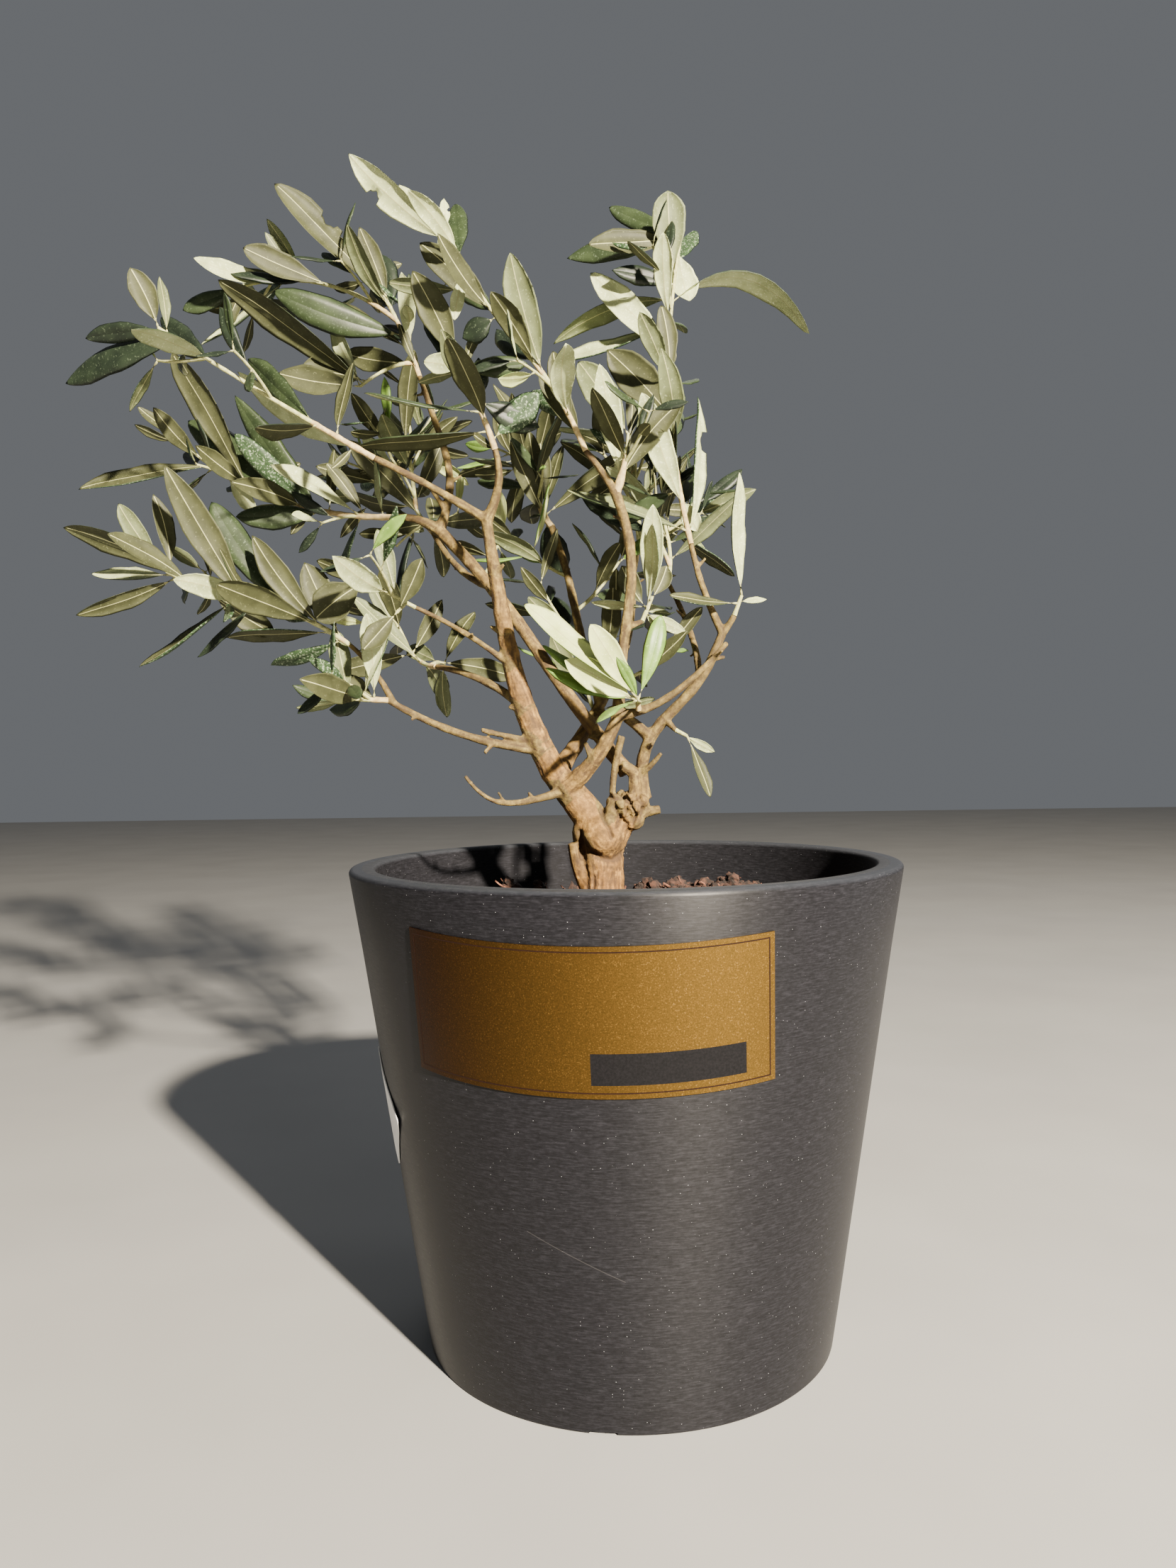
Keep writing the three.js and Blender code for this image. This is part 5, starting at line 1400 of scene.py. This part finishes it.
def leafMesh(leaf, spray, p):  # rings of points: the top from edge to edge, then back underneath
    seed, number = spray["seed"], leaf["number"]
    length, heading, across, rise = leafAxes(leaf)
    small = min(1, length / p["fullFrom"])
    petiole = mix(p["petiole"], chance(seed, number + 0.2)) * small / length
    sickle = p["sickle"] * swing(seed, number + 0.3) * length
    twist = p["twist"] * swing(seed, number + 0.4)
    base = mix(p["broadBase"], chance(seed, number + 0.45))
    end = mix(p["broadTip"], chance(seed, number + 0.55))
    bites = p["bites"].get((spray["name"], number), []) if leaf["kind"] == "main" else []
    stations = set(p["stations"])
    for begin, stop, side, deep in bites:
        stations |= {begin + (stop - begin) * k / p["biteSteps"] for k in range(p["biteSteps"] + 1)}
    rings = [(0, None), (petiole * 0.5, None)] + [(petiole + (1 - petiole) * s, s) for s in sorted(stations)]
    edge, columns = len(p["top"]) - 1, len(p["top"]) + len(p["under"])
    verts, faces, parts = [], [], []
    for t, s in rings:
        bow = 4 * t * (1 - t)
        wave = p["wave"] * length * math.sin(p["waves"] * t + number) * t * 0.4
        centre = (leaf["root"] + heading * (length * t) + rise * (bow * leaf["arch"] * length)
                  + across * (bow * sickle) + rise * wave)
        turn = twist * t
        wide = across * math.cos(turn) + rise * math.sin(turn)
        low = rise * math.cos(turn) - across * math.sin(turn)
        if s is None:
            stalk = p["petioleRadius"] * small ** 0.5 * 0.9
            for a in [2 * math.pi * (k + 0.5) / columns + math.pi / 2 for k in range(columns)]:
                verts.append(centre + (wide * math.sin(a) - low * math.cos(a)) * stalk)
            continue
        reach = leaf["breadth"] / 2 * leafWidth(s, base, end) + p["leastReach"]
        thin = p["thickness"] * (0.55 + 0.45 * math.sin(math.pi * min(1, s * 1.1)))
        for k, a in enumerate(p["top"] + p["under"]):
            ripple = 1 + p["ripple"] * math.sin(p["ripples"] * s + 2.1 * number + math.copysign(1, a))
            left = leftBy(bites, s, a) * ripple
            x, fold, central = a * reach * left, abs(a * left), abs(a) < 0.2
            height = (-p["roll"] * fold + (p["roll"] + p["edgeRoll"] * 0.35) * fold ** 3) * reach
            if k > edge:
                height += thin * 0.5 + (p["rib"] * (1 - 0.7 * s) if central else 0)
            elif central:
                height += p["groove"] * min(1, s / 0.1) * (p["grooveEnd"] - s)
            else:
                height -= thin * (abs(a) < 1) * 0.5
            if central:
                x = math.copysign(min(p["ribWidth"], reach * 0.4), a)
            verts.append(centre + wide * x + low * height)
    middle = edge // 2
    for row in range(len(rings) - 1):
        for k in range(columns):
            here, there = row * columns + k, row * columns + (k + 1) % columns
            first, second = here + columns, there + columns
            if k < middle or edge <= k < edge + middle:  # both sides are split along the same diagonal
                faces += [(here, there, first), (there, second, first)]
            else:
                faces += [(here, there, second), (here, second, first)]
            parts += ["rib" if row < 2 or k == edge + 3 else "upper" if k < edge else "lower"] * 2
    last = (len(rings) - 1) * columns
    verts += [leaf["root"], leaf["tip"] + heading * p["tip"]]
    for k in range(columns):
        after = (k + 1) % columns
        faces += [(len(verts) - 2, after, k), (len(verts) - 1, last + k, last + after)]
        parts += ["rib", "upper" if k < edge else "lower"]
    return verts, faces, parts


# Shares of lit silver and of silver or half-shaded grey undersides; the rest get the shaded olive copy
sunAndShadeShares = {
    "others": (0.28, 0.48), "spray_tall": (0.45, 0.65), "spray_right": (0.45, 0.62),
    "spray_centre": (0.42, 0.6), "spray_mid_right": (0.45, 0.65), "spray_upper_left": (0.45, 0.65),
    "spray_top": (0.4, 0.58),
    "spray_left": (0.2, 0.42), "spray_low_left": (0.18, 0.42), "spray_rear_left": (0.1, 0.35),
    "spray_top_left": (0.26, 0.45), "spray_rear": (0.1, 0.35), "spray_back_centre": (0.06, 0.28),
}
fleckedLeaves = [("spray_upper_left", 2)]


def tonesOf(leaf, spray):  # the finishes of a leaf's under and upper side
    draw, other = [chance(spray["seed"] + 0.5, leaf["number"] + shift) for shift in (0.15, 0.65)]
    if spray["name"] == "spray_front" or (leaf["kind"] == "fine" and draw < 0.1):
        return "young", "young"
    # painted shade: left and rear sprays get more shaded underside copies, the tall, right and middle ones
    # more lit ones
    pale, middling = sunAndShadeShares.get(spray["name"], sunAndShadeShares["others"])
    lower = "silver" if draw < pale else "grey" if draw < middling else "olive"
    upper = "dark" if other < 0.45 else "green" if other < 0.8 else "flecked"
    return lower, "flecked" if (spray["name"], leaf["number"]) in fleckedLeaves else upper


def makeLeaves(name, names, p):
    verts, faces, slots = [], [], []
    palette = [leafRib, *undersides.values(), *uppers.values()]
    for spray in grown:
        for leaf in spray["leaves"] if spray["name"] in names else []:
            lower, upper = tonesOf(leaf, spray)
            own = {"rib": 0, "lower": palette.index(undersides[lower]), "upper": palette.index(uppers[upper])}
            more, moreFaces, parts = leafMesh(leaf, spray, p)
            faces += [[k + len(verts) for k in face] for face in moreFaces]
            verts += [v * mm for v in more]
            slots += [own[part] for part in parts]
    piece = pieceFrom(name, verts, faces, palette, slots)
    whole = bmesh.new()
    whole.from_mesh(piece.data)
    bmesh.ops.recalc_face_normals(whole, faces=whole.faces)
    whole.to_mesh(piece.data)
    whole.free()
    settle(piece, "leaf", *names)


regions = {
    "leavesLeft": ["spray_far_left", "spray_left", "spray_low_left", "spray_low", "spray_low_upper",
                   "spray_low_mid"],
    "leavesTop": ["spray_top_left", "spray_top", "spray_upper_left", "spray_tall"],
    "leavesMiddle": ["spray_centre", "spray_front", "spray_right", "spray_mid_right", "spray_hanging"],
    "leavesRear": ["spray_back_centre", "spray_rear", "spray_rear_right", "spray_rear_left"],
}
for name, names in regions.items():
    makeLeaves(name, names, leafPlan)


# Floor, light and camera

def makeFloor():  # pale, plain, hardly mottled
    ground = makeMottled("paleFloor", {"Roughness": 0.8}, 120, 3, (0.3, "#8e8e8d"), (0.7, "#949493"))
    corners = [(-4, -4, 0), (4, -4, 0), (4, 4, 0), (-4, 4, 0)]
    pieceFrom("floor", corners, [(0, 1, 2, 3)], [ground], smooth=False)


def makeLights():
    world = bpy.data.worlds.new("paleSky")
    bpy.context.scene.world = world
    world.use_nodes = True
    fill(world.node_tree.nodes["Background"], {"Color": linearOf("#e6ebf2"), "Strength": 0.18})
    for name, place, targetHeight, size, power, colour in (
            ("keyLight", (0.89, -1.61, 1.03), 0.25, 0.08, 375, "#fff1da"),
            ("fillLight", (-1.3, -1.1, 0.9), 0.25, 1.4, 0.3, "#eef3ff"),
            ("lowLight", (1.3, 0.3, 0.5), 0.2, 0.5, 2, "#ffffff"),
            ("backLight", (0.2, 1.3, 1.3), 0.3, 1.0, 3, "#ffffff")):
        light = bpy.data.lights.new(name, "AREA")
        light.size, light.energy, light.color = size, power, linearOf(colour)[:3]
        lamp = linked(name, light)
        lamp.location = place
        aim = Vector((0, 0, targetHeight)) - Vector(place)
        lamp.rotation_euler = aim.to_track_quat("-Z", "Y").to_euler()


# The phone's place and turn as fitted to the pot in the photograph; focal and tall in its pixels
view = {"place": (0, -0.4729, 0.2333), "yaw": -0.0302, "pitch": 0.0256, "roll": -0.015, "focal": 1639.8,
        "tall": 2212, "sensor": 36}


def makeCamera(p):
    yaw, pitch, roll = p["yaw"], p["pitch"], p["roll"]
    ahead = Vector((math.sin(yaw) * math.cos(pitch), math.cos(yaw) * math.cos(pitch), -math.sin(pitch)))
    level = Vector((math.cos(yaw), -math.sin(yaw), 0))
    over = level.cross(ahead)
    right = level * math.cos(roll) + over * math.sin(roll)
    top = over * math.cos(roll) - level * math.sin(roll)
    lens = bpy.data.cameras.new("photoCamera")
    lens.sensor_width = p["sensor"]
    lens.lens = p["focal"] / p["tall"] * p["sensor"]
    lens.clip_start = 0.01
    camera = linked("photoCamera", lens)
    matrix = Matrix((right, top, -ahead)).transposed().to_4x4()
    matrix.translation = Vector(p["place"])
    camera.matrix_world = matrix
    bpy.context.scene.camera = camera


makeFloor()
makeLights()
makeCamera(view)
print("stage set")
